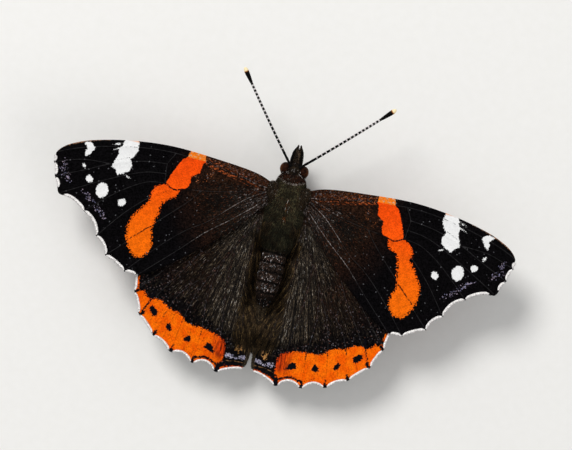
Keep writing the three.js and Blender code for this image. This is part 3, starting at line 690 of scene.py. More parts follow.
def feeler_look():
    """Black with a white ring at the foot of each joint, broader towards the club, and a cream tip."""
    look = Finish("feeler_cuticle", 0.6, 0.03)
    along = look.value("along")
    rings = look.times(look.calc("POWER", along, FEELER_RING_GAIN), float(FEELER_RINGS))
    into = look.calc("SUBTRACT", look.calc("FRACT", rings), look.ramp(along, 0.2, CLUB_START, 0.8, 0.54))
    white = look.times(look.ramp(into, -0.03, 0.03), look.ramp(along, 0.15, 0.19))
    white = look.times(white, look.ramp(along, 0.845, 0.85, 1.0, 0.0))
    grain = look.noise(look.place(), 9.0, 3.0)
    colour = look.mix(white, look.mix(grain, "040404", "0f0d0c"), look.mix(grain, "b4aeac", "ded8d6"))
    colour = look.mix(look.ramp(along, 0.957, 0.962), colour, "a8642c")
    colour = look.mix(look.ramp(along, 0.964, 0.97), colour, look.mix(grain, "f0d9a0", "fff0c8"))
    return look.finish(colour, grain, 0.02)


def leg_look():
    """Dark at the body, tan towards the foot, with a scaly grain."""
    look = Finish("leg_cuticle", 0.5, 0.4)
    grain = look.noise(look.place(), 7.0, 3.0)
    near = look.mix(grain, "17110c", "33271b")
    far = look.mix(grain, "7a5a36", "b08c5c")
    colour = look.mix(look.ramp(look.value("along"), 0.38, 0.5), near, far)
    return look.finish(colour, grain, 0.03)


def tongue_look():
    """Red-brown and finely ringed."""
    look = Finish("tongue_cuticle", 0.35, 0.5)
    grain = look.noise(look.place(), 8.0, 3.0)
    rings = look.calc("SINE", look.times(look.value("along"), 900.0))
    return look.finish(look.mix(grain, "2c160b", "5a3216"), rings, 0.015)


def floor_look():
    """Off-white paint."""
    look = Finish("floor_paint", 0.8, 0.2)
    grain = look.noise(look.place(), 0.8, 4.0)
    return look.finish(look.mix(grain, "e9e7e2", "eeece8"), grain, 0.01)


# Shared ways to make pieces

def metres(points):
    """Plan millimetres made into the model's metres."""
    return (np.asarray(points, float) + (0, ROOT_LINE_Y, 0)) * MM


def on_side(points, side):
    """Points or directions of the right side, mirrored where the side is the left one."""
    return np.asarray(points, float) * (side, 1, 1)


def vectors(*parts):
    """One vector for each place. A part that is a single number is the same for all."""
    return np.stack(np.broadcast_arrays(*parts), axis=1)


def steady(amount):
    """The same amount wherever it is asked for."""
    return lambda first, *rest: np.full(len(first), amount)


def unit(directions):
    return directions / np.maximum(np.linalg.norm(directions, axis=-1, keepdims=True), 1e-9)


def smooth_step(value, low, high):
    """Rises smoothly from 0 at low to 1 at high."""
    share = np.clip((value - low) / (high - low), 0.0, 1.0)
    return share * share * (3.0 - 2.0 * share)


def bell(value, width):
    """1 at zero, falling off smoothly to both sides."""
    return np.exp(-((value / width) ** 2))


def smooth_line(controls, step):
    """Points at even steps along a smooth line through the given ones, in a plan or in space."""
    knots = np.asarray(controls, float)
    knots = np.vstack([knots[:1], knots, knots[-1:]])
    share = np.linspace(0, 1, 30, endpoint=False)[:, None]
    pieces = []
    for before, start, end, after in zip(knots[:-3], knots[1:-2], knots[2:-1], knots[3:]):
        leave, arrive = (end - before) / 2, (after - start) / 2
        pieces.append(
            (2 * start - 2 * end + leave + arrive) * share**3
            + (3 * end - 3 * start - 2 * leave - arrive) * share**2
            + leave * share + start
        )
    dense = np.vstack(pieces + [knots[-1:]])
    lengths = np.concatenate([[0], np.cumsum(np.linalg.norm(np.diff(dense, axis=0), axis=1))])
    marks = np.linspace(0, lengths[-1], max(2, round(lengths[-1] / step)) + 1)
    return np.stack([np.interp(marks, lengths, dense[:, k]) for k in range(dense.shape[1])], axis=1)


def corner_values(mesh, key="co"):
    """The places of a mesh's corners, or their normals."""
    flat = np.empty(len(mesh.vertices) * 3)
    mesh.vertices.foreach_get(key, flat)
    return flat.reshape(-1, 3)


def set_value(mesh, name, values):
    """Keeps a number at each corner of a mesh for its material to read."""
    mesh.attributes.new(name, "FLOAT", "POINT").data.foreach_set("value", np.asarray(values, np.float32))


def deselect():
    bpy.ops.object.select_all(action="DESELECT")


def open_mesh():
    """Opens the active piece to be shaped, with all of it selected."""
    bpy.ops.object.mode_set(mode="EDIT")
    bpy.ops.mesh.select_all(action="SELECT")


def close_mesh():
    """Leaves the shaping, and shades the piece smooth."""
    bpy.ops.object.mode_set(mode="OBJECT")
    bpy.ops.object.shade_smooth()


def add_ball(name, middle, rotation, segments, rings):
    """A ball of one millimetre's radius with its poles turned. Returns it and its middle."""
    deselect()
    centre = Vector(metres(middle))
    bpy.ops.mesh.primitive_uv_sphere_add(segments=segments, ring_count=rings, radius=MM, rotation=rotation,
                                         location=centre)
    ball = bpy.context.object
    ball.name = name
    bpy.ops.object.transform_apply(location=True, rotation=True, scale=True)
    return ball, centre


def placed(name, mesh, materials, slot, *nodes):
    """Puts a mesh into the model as a piece of its own."""
    settle(add_object(name, mesh), materials, slot, *nodes)


def settle(piece, materials, slot, *nodes):
    """Gives a piece its materials and its body, and hides the solids that it stands in for. The slot is not
    used.
    """
    for material in materials:
        piece.data.materials.append(material)
    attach(piece, "root")
    if nodes:
        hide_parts(*nodes)


# Hair and scales: each a thin closed blade of ten triangles

BLADE_FACES = np.array([
    (0, 1, 2), (0, 3, 4), (0, 4, 1), (1, 5, 2), (1, 4, 5),
    (2, 3, 0), (2, 5, 3), (3, 6, 4), (4, 6, 5), (5, 6, 3),
])
# where a blade's corners lie on its own small patch of the unwrap, across it and up it
BLADE_PATCH = np.array([
    (-0.5, -0.5), (0.5, -0.5), (0, -0.45), (-0.4, 0), (0.4, 0), (0, 0.05), (0, 0.5),
]) * 0.003
BLADE_CORNERS = len(BLADE_PATCH)
Blades = namedtuple("Blades", "roots normals lies lengths widths lifts dyes")


def blade_mesh(name, blades, spots, sink=0.04):
    """Blades that stand on a surface and lie along it. Spots are their places on its unwrap."""
    roots, normals, lies, lengths, widths, lifts, dyes = blades
    count = len(roots)
    lies = unit(lies - normals * np.sum(lies * normals, axis=1, keepdims=True))
    sides = np.cross(lies, normals)
    along = (lengths * np.cos(lifts))[:, None]
    rise = (lengths * np.sin(lifts))[:, None]
    sway = sides * (lengths * rng.normal(0, 0.06, count))[:, None]
    half = widths[:, None] / 2
    foot = roots - normals * sink
    middle = roots + lies * along * 0.5 + normals * rise * 0.75 + sway * 0.3
    tip = roots + lies * along + normals * rise + sway
    corners = np.stack([
        foot - sides * half, foot + sides * half, foot + normals * half * 0.8,
        middle - sides * half, middle + sides * half, middle + normals * half * 0.8, tip,
    ], axis=1)
    faces = (np.arange(count)[:, None, None] * BLADE_CORNERS + BLADE_FACES[None]).reshape(-1, 3)
    mesh = bpy.data.meshes.new(name)
    mesh.from_pydata(metres(corners.reshape(-1, 3)).tolist(), [], faces.tolist())
    set_value(mesh, "along", np.tile([0, 0, 0, 0.5, 0.5, 0.5, 1], count))
    colours = np.ones((count, BLADE_CORNERS, 4), np.float32)
    colours[:, :, :3] = dyes[:, None, :]
    mesh.attributes.new("dye", "FLOAT_COLOR", "POINT").data.foreach_set("color", colours.ravel())
    corner_spots = (spots[:, None, :] + BLADE_PATCH[None]).reshape(-1, 2)
    mesh.uv_layers.new(name="OFBake").data.foreach_set("uv", corner_spots[faces.ravel()].ravel())
    mesh.polygons.foreach_set("use_smooth", np.ones(len(faces), bool))
    return mesh


def dyed(shades, count, spread=0.25):
    """A colour for each blade: one of the shades, by their weights, made a little lighter or darker."""
    weights = np.array(list(shades.values()))
    picks = rng.choice(len(shades), count, p=weights / weights.sum())
    colours = np.array([linear(code) for code in shades])[picks]
    return colours * rng.uniform(1 - spread, 1 + spread, (count, 1))


def either(chosen, first, second):
    """The rows of the first list where chosen, and those of the second one elsewhere."""
    return np.where(chosen[:, None], first, second)


# Plans

def closed(loop):
    """A loop as a line that comes back to its start."""
    return np.vstack([loop, loop[:1]])


def nearest(points, line):
    """The distance from each point to a line, and how far along it the nearest place is."""
    best = np.full(len(points), 1e9)
    share = np.zeros(len(points))
    for i, (start, end) in enumerate(zip(line[:-1], line[1:])):
        step = end - start
        along = np.clip(((points - start) @ step) / max(step @ step, 1e-12), 0, 1)
        distance = np.linalg.norm(points - start - along[:, None] * step, axis=1)
        closer = distance < best
        best[closer] = distance[closer]
        share[closer] = (i + along[closer]) / (len(line) - 1)
    return best, share


def within(points, loop):
    """Whether each point lies inside a loop."""
    inside = np.zeros(len(points), bool)
    x, y = points[:, 0], points[:, 1]
    for (ax, ay), (bx, by) in zip(loop, np.roll(loop, 1, axis=0)):
        if ay != by:
            inside ^= ((ay > y) != (by > y)) & (x < (bx - ax) * (y - ay) / (by - ay) + ax)
    return inside


def depth_in(points, loops):
    """How deep each point lies within the nearest of some loops; below zero outside."""
    best = np.full(len(points), -1e9)
    for loop in loops:
        loop = np.asarray(loop, float)
        distance = nearest(points, closed(loop))[0]
        best = np.maximum(best, np.where(within(points, loop), distance, -distance))
    return best


def depth_in_spots(points, spots):
    """The same for turned ovals."""
    best = np.full(len(points), -1e9)
    for x, y, long, short, turn in spots:
        angle = math.radians(turn)
        off = points - (x, y)
        along = (off[:, 0] * math.cos(angle) + off[:, 1] * math.sin(angle)) / long
        across = (off[:, 1] * math.cos(angle) - off[:, 0] * math.sin(angle)) / short
        best = np.maximum(best, (1 - np.hypot(along, across)) * min(long, short))
    return best


def depth_in_strokes(points, strokes):
    """The same for lines that narrow to their ends."""
    best = np.full(len(points), -1e9)
    for line, half in strokes:
        distance, share = nearest(points, smooth_line(line, 0.2))
        best = np.maximum(best, half * (1 - 0.3 * share) - distance)
    return best


# Wings

def forewing_height(x, y):
    """Rises outwards, more gently towards the tip."""
    out = x - WING_ROOT_X
    rise = FOREWING_RISE * out - FOREWING_EASE * out * out
    return FOREWING_ROOT_Z + rise + FOREWING_TILT * y - FOREWING_SINK


def hindwing_height(x, y):
    """Rises outwards, and dips along the abdomen to pass beneath it."""
    plane = HINDWING_ROOT_Z + HINDWING_RISE * (x - WING_ROOT_X) + HINDWING_TILT * (y + 1)
    near = 1 / (1 + (x / DIP_WIDTH) ** 4)
    depth = DIP_DEPTH + (REAR_DIP_DEPTH - DIP_DEPTH) * smooth_step(-y, *DIP_END)
    return plane - smooth_step(-y, *DIP_START) * depth * near + HINDWING_LIFT


def margin_line(ends, step):
    """The scalloped outer edge, and how far each of its points is from a vein's end, past its dark tip."""
    points, clear = [], []
    for (x, y, depth, dark), (next_x, next_y, _, next_dark) in zip(ends[:-1], ends[1:]):
        run_x, run_y = next_x - x, next_y - y
        span = math.hypot(run_x, run_y)
        count = max(1, round(span / step))
        for k in range(count):
            share = k / count
            fall = depth * math.sin(math.pi * share) ** 1.1
            points.append((x + run_x * share + run_y / span * fall, y + run_y * share - run_x / span * fall))
            clear.append(min(share * span - dark, (1 - share) * span - next_dark))
    return rounded(np.array(points), 0.4 / step), np.array(clear)


def rounded(points, reach):
    """The same line with its corners worn off, and its two ends kept."""
    width = max(1, round(reach))
    if width < 2:
        return points
    padded = np.concatenate([np.repeat(points[:1], width, 0), points, np.repeat(points[-1:], width, 0)])
    kernel = np.ones(2 * width + 1) / (2 * width + 1)
    return np.stack([np.convolve(padded[:, k], kernel, "valid") for k in (0, 1)], axis=1)


def fringe_depth(wing, clear):
    """The fringe is deepest between the veins and thins out at their ends."""
    return wing["fringe"] * (0.25 + 0.75 * smooth_step(clear, -0.25, 0.5))


def membrane_outline(wing):
    """The closed edge of the membrane, inside the fringe."""
    front = smooth_line(wing["front"], SHEET_STEP)[:-1]
    outer, clear = margin_line(wing["ends"], SHEET_STEP)
    back = smooth_line(wing["back"], SHEET_STEP)[:-1]
    outline = np.vstack([front, outer, back])
    front_inset, back_inset = wing["inset"]
    insets = np.concatenate([
        np.full(len(front), front_inset), fringe_depth(wing, clear), np.full(len(back), back_inset),
    ])
    insets = np.convolve(np.concatenate([insets[-1:], insets, insets[:1]]), np.ones(3) / 3, "valid")
    return outline - outward(outline) * insets[:, None]


def outward(loop):
    """Outward directions of a loop that runs clockwise."""
    run = unit(np.roll(loop, -1, axis=0) - np.roll(loop, 1, axis=0))
    return vectors(-run[:, 1], run[:, 0])


def filling(outline):
    """Staggered rows of points inside an outline."""
    low, high = outline.min(0), outline.max(0)
    rows = np.arange(low[1], high[1], SHEET_STEP * 0.866)
    columns = np.arange(low[0], high[0], SHEET_STEP)
    x, y = np.meshgrid(columns, rows)
    x = x + (np.arange(len(rows)) % 2)[:, None] * SHEET_STEP / 2
    points = vectors(x.ravel(), y.ravel())
    points = points[within(points, outline)]
    return points[nearest(points, closed(outline))[0] > 0.6 * SHEET_STEP]


def sheet_plan(outline, veins):
    """Triangles over the membrane, with their corners set along each vein."""
    fill = filling(outline)
    crests = []
    for vein in veins:
        fill = fill[nearest(fill, vein)[0] > 0.45 * SHEET_STEP]
        held = within(vein, outline) & (nearest(vein, closed(outline))[0] > 0.5 * SHEET_STEP)
        if crests:
            apart = np.linalg.norm(vein[:, None] - np.vstack(crests)[None], axis=2).min(1)
            held &= apart > 0.5 * SHEET_STEP
        crests.append(vein[held])
    plan = np.vstack([outline, *crests, fill])
    loop = list(range(len(outline)))
    result = delaunay_2d_cdt([Vector(p) for p in plan], [], [loop], 1, 1e-5)
    return np.array([tuple(p) for p in result[0]]), np.array(result[2])


def wing_values(points, wing, veins):
    """What every part of a wing's surface knows about its place."""
    distance = np.full(len(points), 1e9)
    ridge = np.zeros(len(points))
    for vein in veins:
        off, share = nearest(points, vein)
        distance = np.minimum(distance, off)
        ridge = np.maximum(ridge, (1.15 - 0.7 * share) * bell(off, RIDGE_WIDTH))
    off = points - wing["root"]
    reach = np.hypot(off[:, 0], off[:, 1])
    turn = np.arctan2(off[:, 1], off[:, 0]) * 10
    return {"vein": distance, "ridge": ridge, "reach": reach, "turn": turn}


def rim_sides(faces):
    """The sides of triangles that no other triangle shares."""
    sides = np.vstack([faces[:, [0, 1]], faces[:, [1, 2]], faces[:, [2, 0]]])
    known = {tuple(side) for side in sides.tolist()}
    return sorted(side for side in known if (side[1], side[0]) not in known)


def wing_mesh(name, plan, faces, height, values):
    """A thin closed sheet whose veins stand out on both sides."""
    count = len(plan)
    x, y = plan[:, 0], plan[:, 1]
    sag = MEMBRANE_SAG * smooth_step(values["vein"], 0.1, 1.3) * smooth_step(values["rim"], 0.0, 0.8)
    middle = height(x, y) - sag
    half = SHEET_HALF * (0.6 + 0.4 * smooth_step(values["rim"], 0.0, 0.5)) + RIDGE_HEIGHT * values["ridge"]
    a, b, c = faces.T
    turned = np.cross(plan[b] - plan[a], plan[c] - plan[a]) < 0
    faces = either(turned, faces[:, ::-1], faces)
    under = faces[:, ::-1] + count
    quads = [(p, p + count, q + count, q) for p, q in rim_sides(faces)]
    mesh = bpy.data.meshes.new(name)
    corners = np.vstack([vectors(x, y, middle + half), vectors(x, y, middle - half)])
    mesh.from_pydata(metres(corners).tolist(), [], faces.tolist() + under.tolist() + quads)
    below = np.repeat((0, 1, 0), (len(faces), len(under), len(quads))).astype(np.int32)
    mesh.polygons.foreach_set("material_index", below)
    mesh.polygons.foreach_set("use_smooth", np.ones(len(below), bool))
    for key, numbers in values.items():
        set_value(mesh, key, np.tile(numbers, 2))
    return mesh


def forewing_marks(points):
    """How deep each place lies in every mark of the forewing, and its share of each tint."""
    x, y = points[:, 0], points[:, 1]
    front = np.interp(x, *smooth_line(FOREWING["front"], 0.5).T)
    from_root = np.hypot(x - 3.0, y - 1.5)
    edge = 0.1 - np.abs(front - y - 0.1) - 0.08 * smooth_step(np.abs(x - 29.8), 0.8, 2.6)
    edge[(x < 25.5) | (x > 32.6)] = -1
    ragged = 0.12 + 0.4 * smooth_step(-y, -0.8, 3.5)
    return {
        "band": depth_in(points, [BAND_TOP, BAND_LOW]) - 0.22 * (ragged - 0.12),
        "white": np.maximum(depth_in(points, [WHITE_BAR, WHITE_WEDGE]), depth_in_spots(points, WHITE_SPOTS)),
        "lilac": depth_in_spots(points, LILAC_DUST),
        "ink": depth_in_strokes(points, FOREWING_INK),
        "rust": np.maximum(depth_in(points, [RUST_ZONE]) - 0.1, depth_in_spots(points, RUST_DABS)),
        "rust_line": depth_in_strokes(points, RUST_LINES),
        "silver": depth_in_strokes(points, FOREWING_SILVER),
        "warmth": smooth_step(-y, -4.0, 11.0),
        "costa": y - (3.75 + 0.02 * (x - 12)) - 0.3 * smooth_step(x, 20, 22),
        "brown": 1 - smooth_step(from_root, 6, 15),
        "hair": 0.8 * (1 - smooth_step(from_root, 4, 11)) * smooth_step(-y, -1.5, 1.0),
        "frost": (1 - smooth_step(from_root, 2.5, 6.5)) * smooth_step(-y, -1.2, 1.0),
        "edge": edge,
        "ragged": ragged,
        "apex": depth_in(points, [APEX_ZONE]),
    }


def hindwing_marks(points):
    """The same for the hindwing."""
    x, y = points[:, 0], points[:, 1]
    inner = 1 - smooth_step(x, 5.5, 10.5)
    before_band = smooth_step(-y, 13.5, 17.5)
    return {
        "band": depth_in(points, [HIND_BAND, HIND_STRIP, HIND_HEM]),
        "patch": depth_in(points, [HIND_PATCH]),
        "folds": depth_in_strokes(points, HIND_FOLDS),
        "lilac": depth_in_spots(points, HIND_LILAC),
        "ink": np.maximum(depth_in_strokes(points, HIND_INK), depth_in(points, HIND_DOTS)),
        "tan_line": depth_in_strokes(points, HIND_TAN_LINE),
        "white": depth_in_spots(points, HIND_PALE_SPOT),
        "warmth": (1 - smooth_step(x, 4.2, 6.5)) * (1 - 0.7 * smooth_step(-y, 21.9, 22.9)),
        "brown": (1 - 0.8 * before_band) * (1 - smooth_step(np.hypot(x - 3, y + 2), 9, 18)),
        "hair": (0.25 + 0.75 * inner) * (1 - 0.75 * before_band),
        "edge": depth_in_spots(points, HIND_TAN),
        "silver": depth_in_strokes(points, HIND_SILVER),
        "ragged": np.full(len(x), 0.35),
    }


def make_wings(kind, wing, marks, looks):
    """Both wings of a pair, the left one mirrored from the right."""
    outline = membrane_outline(wing)
    veins = [smooth_line(vein, SHEET_STEP) for vein in wing["veins"]]
    plan, faces = sheet_plan(outline, veins)
    values = wing_values(plan, wing, veins)
    values["rim"] = nearest(plan, closed(outline))[0]
    values.update(marks(plan))
    for side, name in SIDES:
        mesh = wing_mesh(f"{kind}_{name}_sheet", plan, faces, WING_HEIGHTS[kind], values)
        if side < 0:
            mirror(mesh)
        placed(mesh.name, mesh, looks, f"{kind}_scales", f"{kind}_{name}")
        add_fringe(kind, wing, side, name)


def mirror(mesh):
    mesh.vertices.foreach_set("co", on_side(corner_values(mesh), -1).ravel())
    mesh.flip_normals()
    mesh.update()


def wing_spots(x, y, side):
    """Places on the unwrap of a wing, whose sheet is almost flat: left wings on its left half."""
    return vectors(0.5 + side * (0.02 + x / 36 * 0.46), 0.06 + (y + 26) / 32 * 0.88)


def surface_at(kind, x, y):
    """Points of a wing's upper face and the normals there."""
    height = WING_HEIGHTS[kind]
    step = 0.02
    slope_x = (height(x + step, y) - height(x - step, y)) / (2 * step)
    slope_y = (height(x, y + step) - height(x, y - step)) / (2 * step)
    return vectors(x, y, height(x, y) + SHEET_HALF), unit(vectors(-slope_x, -slope_y, 1.0))


def add_wing_blades(name, kind, side, look, blades, sink):
    """Blades worked out for the right wing, mirrored where the side is the left one."""
    spots = wing_spots(blades.roots[:, 0], blades.roots[:, 1], side)
    mirrored = blades._replace(
        roots=on_side(blades.roots, side),
        normals=on_side(blades.normals, side),
        lies=on_side(blades.lies, side),
    )
    placed(name, blade_mesh(name, mirrored, spots, sink), [LOOKS[look]], f"{kind}_scales")


def fringe_line(wing):
    """Points along the outer edge, which way is out there, and how clear of the veins' dark ends they are."""
    points, clear = margin_line(wing["ends"], 0.05)
    front = smooth_line(wing["front"], 0.3)[:-1]
    back = smooth_line(wing["back"], 0.3)[:-1]
    out = outward(np.vstack([front, points, back]))[len(front):len(front) + len(points)]
    return points, unit(rounded(out, 9)), clear


def add_fringe(kind, wing, side, name):
    """Three layers of short hairs past the outer edge, white between the veins and black at their ends."""
    points, out, clear = fringe_line(wing)
    deep = fringe_depth(wing, clear)
    count = len(points)
    layers = []
    for layer in range(3):
        start = points - out * (deep + 0.1 - 0.02 * layer)[:, None]
        roots, normals = surface_at(kind, start[:, 0], start[:, 1])
        roots[:, 2] += 0.012 * layer - 0.05
        lies = np.column_stack([out + rng.normal(0, 0.12, (count, 2)), np.zeros(count)])
        pale = clear + rng.normal(0, 0.06, count) > 0
        worn = 1 - 0.4 * smooth_step(np.sin(points[:, 0] * 4.1) + np.sin(points[:, 1] * 7.3), 0.6, 1.6)
        lengths = (deep * worn + 0.12) * rng.uniform(0.75, 1.08, count)
        dyes = either(pale, dyed({"f4f0ec": 3, "ddd8d6": 1}, count, 0.06), dyed({"0d0b0b": 1}, count))
        layers.append((roots, normals, lies, lengths, dyes))
    roots, normals, lies, lengths, dyes = (np.concatenate(group) for group in zip(*layers))
    widths = rng.uniform(0.09, 0.13, len(roots))
    lifts = rng.uniform(-0.05, 0.08, len(roots))
    blades = Blades(roots, normals, lies, lengths, widths, lifts, dyes)
    add_wing_blades(f"{kind}_{name}_fringe", kind, side, "fringe", blades, sink=0.01)


def add_wing_hair(name, kind, side, count, low, high, share, flow, length, width, palette):
    """Flat hairs on a wing, as thick as their share says, between two corners of its plan."""
    x = rng.uniform(low[0], high[0], count * 3)
    y = rng.uniform(low[1], high[1], count * 3)
    kept = np.flatnonzero(rng.uniform(size=len(x)) < share(x, y))[:count]
    x, y = x[kept], y[kept]
    count = len(x)
    roots, normals = surface_at(kind, x, y)
    roots[:, 2] -= 0.01
    lies = np.column_stack([flow(x, y) + rng.normal(0, 0.05, (count, 2)), np.zeros(count)])
    ahead = unit(lies[:, :2]) * 0.6
    height = WING_HEIGHTS[kind]
    lies[:, 2] = (height(x + ahead[:, 0], y + ahead[:, 1]) - height(x, y)) / 0.6
    lengths = length(x, y) * rng.uniform(0.7, 1.25, count)
    dyes = palette(x, y)
    widths = width * rng.uniform(0.8, 1.2, count)
    lifts = rng.uniform(0.01, 0.06, count)
    blades = Blades(roots, normals, lies, lengths, widths, lifts, dyes)
    add_wing_blades(name, kind, side, "wing_hair", blades, sink=0.02)


def add_inner_fringe(side, name):
    """Soft hair on the inner edge of a hindwing, which closes the slit behind the abdomen."""
    edge = smooth_line(HINDWING["back"], 0.02)
    edge = edge[(edge[:, 1] < -4.0) & (edge[:, 1] > -23.0)]
    picks = rng.integers(0, len(edge), INNER_FRINGE_HAIRS)
    count = len(picks)
    edge_x, y = edge[picks].T
    under = smooth_step(edge_x, 0.3, 0.9) * (y > -14)
    open_end = smooth_step(-y, 19.8, 21.2)
    roots, normals = surface_at("hindwing", edge_x + rng.uniform(0.15, 0.6, count), y)
    roots[:, 2] -= 0.02
    lies = vectors(-0.75 - 0.3 * open_end - 2.2 * under, -1.0, rng.normal(0.02, 0.05, count))
    lies[:, 0] += rng.normal(0, 0.15, count)
    lengths = (0.9 - 0.62 * open_end + 0.9 * under) * rng.uniform(0.6, 1.1, count)
    dyes = dyed({"241c13": 3, "3a2f20": 3, "15100b": 2, "6a5c48": 1}, count)
    widths = rng.uniform(0.035, 0.055, count)
    lifts = rng.uniform(0.0, 0.08, count)
    blades = Blades(roots, normals, lies, lengths, widths, lifts, dyes)
    add_wing_blades(f"hindwing_{name}_inner_fringe", "hindwing", side, "hair", blades, sink=0.01)


# Body

def loft(name, rings, sides):
    """A skin drawn out ring by ring along the body from a filled circle."""
    deselect()
    y, width, tall, z = rings[0]
    centre = Vector(metres((0, y, z)))
    bpy.ops.mesh.primitive_circle_add(vertices=sides, radius=MM, fill_type="NGON", location=centre,
                                      rotation=(math.pi / 2, 0, 0))
    piece = bpy.context.object
    piece.name = name
    bpy.ops.object.transform_apply(location=True, rotation=True, scale=True)
    open_mesh()
    bpy.ops.transform.resize(value=(width, 1, tall), center_override=centre)
    for y, next_width, next_tall, z in rings[1:]:
        step = Vector(metres((0, y, z))) - centre
        bpy.ops.mesh.extrude_region_move(TRANSFORM_OT_translate={"value": step})
        centre = centre + step
        bpy.ops.transform.resize(value=(next_width / width, 1, next_tall / tall), center_override=centre)
        width, tall = next_width, next_tall
    bpy.ops.mesh.select_all(action="SELECT")
    bpy.ops.mesh.normals_make_consistent(inside=False)
    bpy.ops.object.mode_set(mode="OBJECT")
    smooth = piece.modifiers.new("smooth", "SUBSURF")
    smooth.levels = 2
    smooth.render_levels = 2
    bpy.ops.object.modifier_apply(modifier=smooth.name)
    bpy.ops.object.shade_smooth()
    return piece


def groove_segments(piece):
    """Presses a shallow groove behind each ring of the abdomen, and one behind the collar."""
    axis = ABDOMEN_AXIS_Z * MM
    for vertex in piece.data.vertices:
        y = vertex.co.y / MM - ROOT_LINE_Y
        collar = bell(y - collar_line(vertex.co.x / MM) + COLLAR_GROOVE["behind"], COLLAR_GROOVE["width"])
        if vertex.co.z > COLLAR_GROOVE["above"] * MM:
            vertex.co.z -= COLLAR_GROOVE["depth"] * MM * collar
        pressed = sum(bell(y - groove, GROOVE["width"]) for groove in SEGMENT_GROOVES)
        vertex.co.x *= 1 - GROOVE["narrowing"] * pressed
        vertex.co.z = axis + (vertex.co.z - axis) * (1 - GROOVE["flattening"] * pressed)


def in_fixed_order(places, normals, triangles):
    """The same mesh sorted by place, since Blender can number a mesh differently from run to run."""
    order = np.lexsort((places * 1000 + 0.37).round().T)
    rank = np.empty(len(order), int)
    rank[order] = np.arange(len(order))
    triangles = np.sort(rank[triangles], axis=1)
    return places[order], normals[order], triangles[np.lexsort(triangles.T)]


def skin_samples(piece, count):
    """Random places on a piece, spread evenly, with their normals."""
    mesh = piece.data
    mesh.calc_loop_triangles()
    corners = np.empty(len(mesh.loop_triangles) * 3, np.int32)
    mesh.loop_triangles.foreach_get("vertices", corners)
    places = corner_values(mesh) / MM - (0, ROOT_LINE_Y, 0)
    places, normals, triangles = in_fixed_order(places, corner_values(mesh, "normal"), corners.reshape(-1, 3))
    a, b, c = triangles.T
    area = np.linalg.norm(np.cross(places[b] - places[a], places[c] - places[a]), axis=1)
    picks = rng.choice(len(area), count, p=area / area.sum())
    u, v = rng.uniform(size=(2, count, 1))
    folded = u + v > 1
    u, v = np.where(folded, 1 - u, u), np.where(folded, 1 - v, v)
    a, b, c = a[picks], b[picks], c[picks]
    return (places[a] * (1 - u - v) + places[b] * u + places[c] * v,
            unit(normals[a] * (1 - u - v) + normals[b] * u + normals[c] * v))


def body_spots(points):
    """Places on the unwrap of the body: round it, and along it."""
    round_it = np.arctan2(points[:, 0], BODY_AXIS_Z - points[:, 2]) / (2 * math.pi) + 0.5
    along = (points[:, 1] - BODY_REAR_Y) / BODY_LENGTH
    return vectors(0.01 + 0.98 * round_it, 0.01 + 0.98 * along)


def add_body_coat(name, skin, count, where, lie, length, lift, palette, width=HAIR_WIDTH, slot="body_coat",
                  look="hair"):
    """Hair or scales on the part of a skin where the given test on x, y and the normal's rise holds."""
    points, normals = skin_samples(skin, count)
    chosen = where(points[:, 0], points[:, 1], normals[:, 2])
    points, normals = points[chosen], normals[chosen]
    count = len(points)
    lies = lie(points[:, 0], points[:, 1]) + rng.normal(0, 0.12, (count, 3))
    lengths = length(points[:, 0], points[:, 1]) * rng.uniform(0.75, 1.25, count)
    widths = width * rng.uniform(0.8, 1.2, count)
    lifts = lift * rng.uniform(0.7, 1.3, count)
    blades = Blades(points, normals, lies, lengths, widths, lifts, palette(points, normals))
    placed(name, blade_mesh(name, blades, body_spots(points)), [LOOKS[look]], slot)


def tube(name, line, radii, step, sides, shape=steady(1.0)):
    """A round piece along a smooth line. Its radius follows the given ones, times its shape at each place."""
    points = smooth_line(line, step)
    share = np.linspace(0, 1, len(points))
    radius = np.interp(share, np.linspace(0, 1, len(radii)), radii) * shape(share)
    deselect()
    bpy.ops.curve.primitive_nurbs_path_add()
    piece = bpy.context.object
    piece.name = name
    data = piece.data
    data.splines.clear()
    spline = data.splines.new("POLY")
    spline.points.add(len(points) - 1)
    for point, spot, size in zip(spline.points, metres(points), radius):
        point.co = (*spot, 1)
        point.radius = size * MM
    data.bevel_depth = 1.0
    data.bevel_resolution = max(0, sides // 4 - 1)
    data.use_fill_caps = True
    data.twist_mode = "MINIMUM"
    bpy.ops.object.convert(target="MESH")
    open_mesh()
    bpy.ops.mesh.remove_doubles(threshold=1e-7)
    bpy.ops.mesh.normals_make_consistent(inside=False)
    close_mesh()
    set_value(piece.data, "along", nearest(corner_values(piece.data), metres(points))[1])
    return piece


def add_eye(side, name):
    """A domed eye with a drawn-in rim at the head."""
    eye, centre = add_ball(f"eye_{name}_dome", on_side(EYE["middle"], side), (0, math.pi / 2, 0), 40, 24)
    open_mesh()
    bpy.ops.transform.resize(value=EYE["half"], center_override=centre)
    close_mesh()
    outer = []
    for vertex in eye.data.vertices:
        inward = (centre.x - vertex.co.x) * side / MM / EYE["half"][0]
        if inward > EYE["rim"]:
            vertex.co = centre + (vertex.co - centre) * (1 - EYE["drawn_in"] * (inward - EYE["rim"]))
        outer.append(-inward)
    set_value(eye.data, "outer", outer)
    settle(eye, [LOOKS["eye"]], "eye", f"eye_{name}")


def feeler_shape(share):
    """A swollen foot, a ripple at each joint, and a club with a round end."""
    joints = 1 + 0.07 * np.cos(share**FEELER_RING_GAIN * FEELER_RINGS * 2 * np.pi)
    club = np.clip((share - CLUB_START) / 0.1, 0, 1) ** 0.8
    end = np.sqrt(np.clip(1 - np.clip((share - 0.96) / 0.04, 0, 1) ** 2, 0.04, 1))
    base = 1 + 0.5 * bell(share, 0.02)
    return (1 + (CLUB_RADIUS / FEELER_RADIUS - 1) * club) * end * base * np.where(share < 0.85, joints, 1)


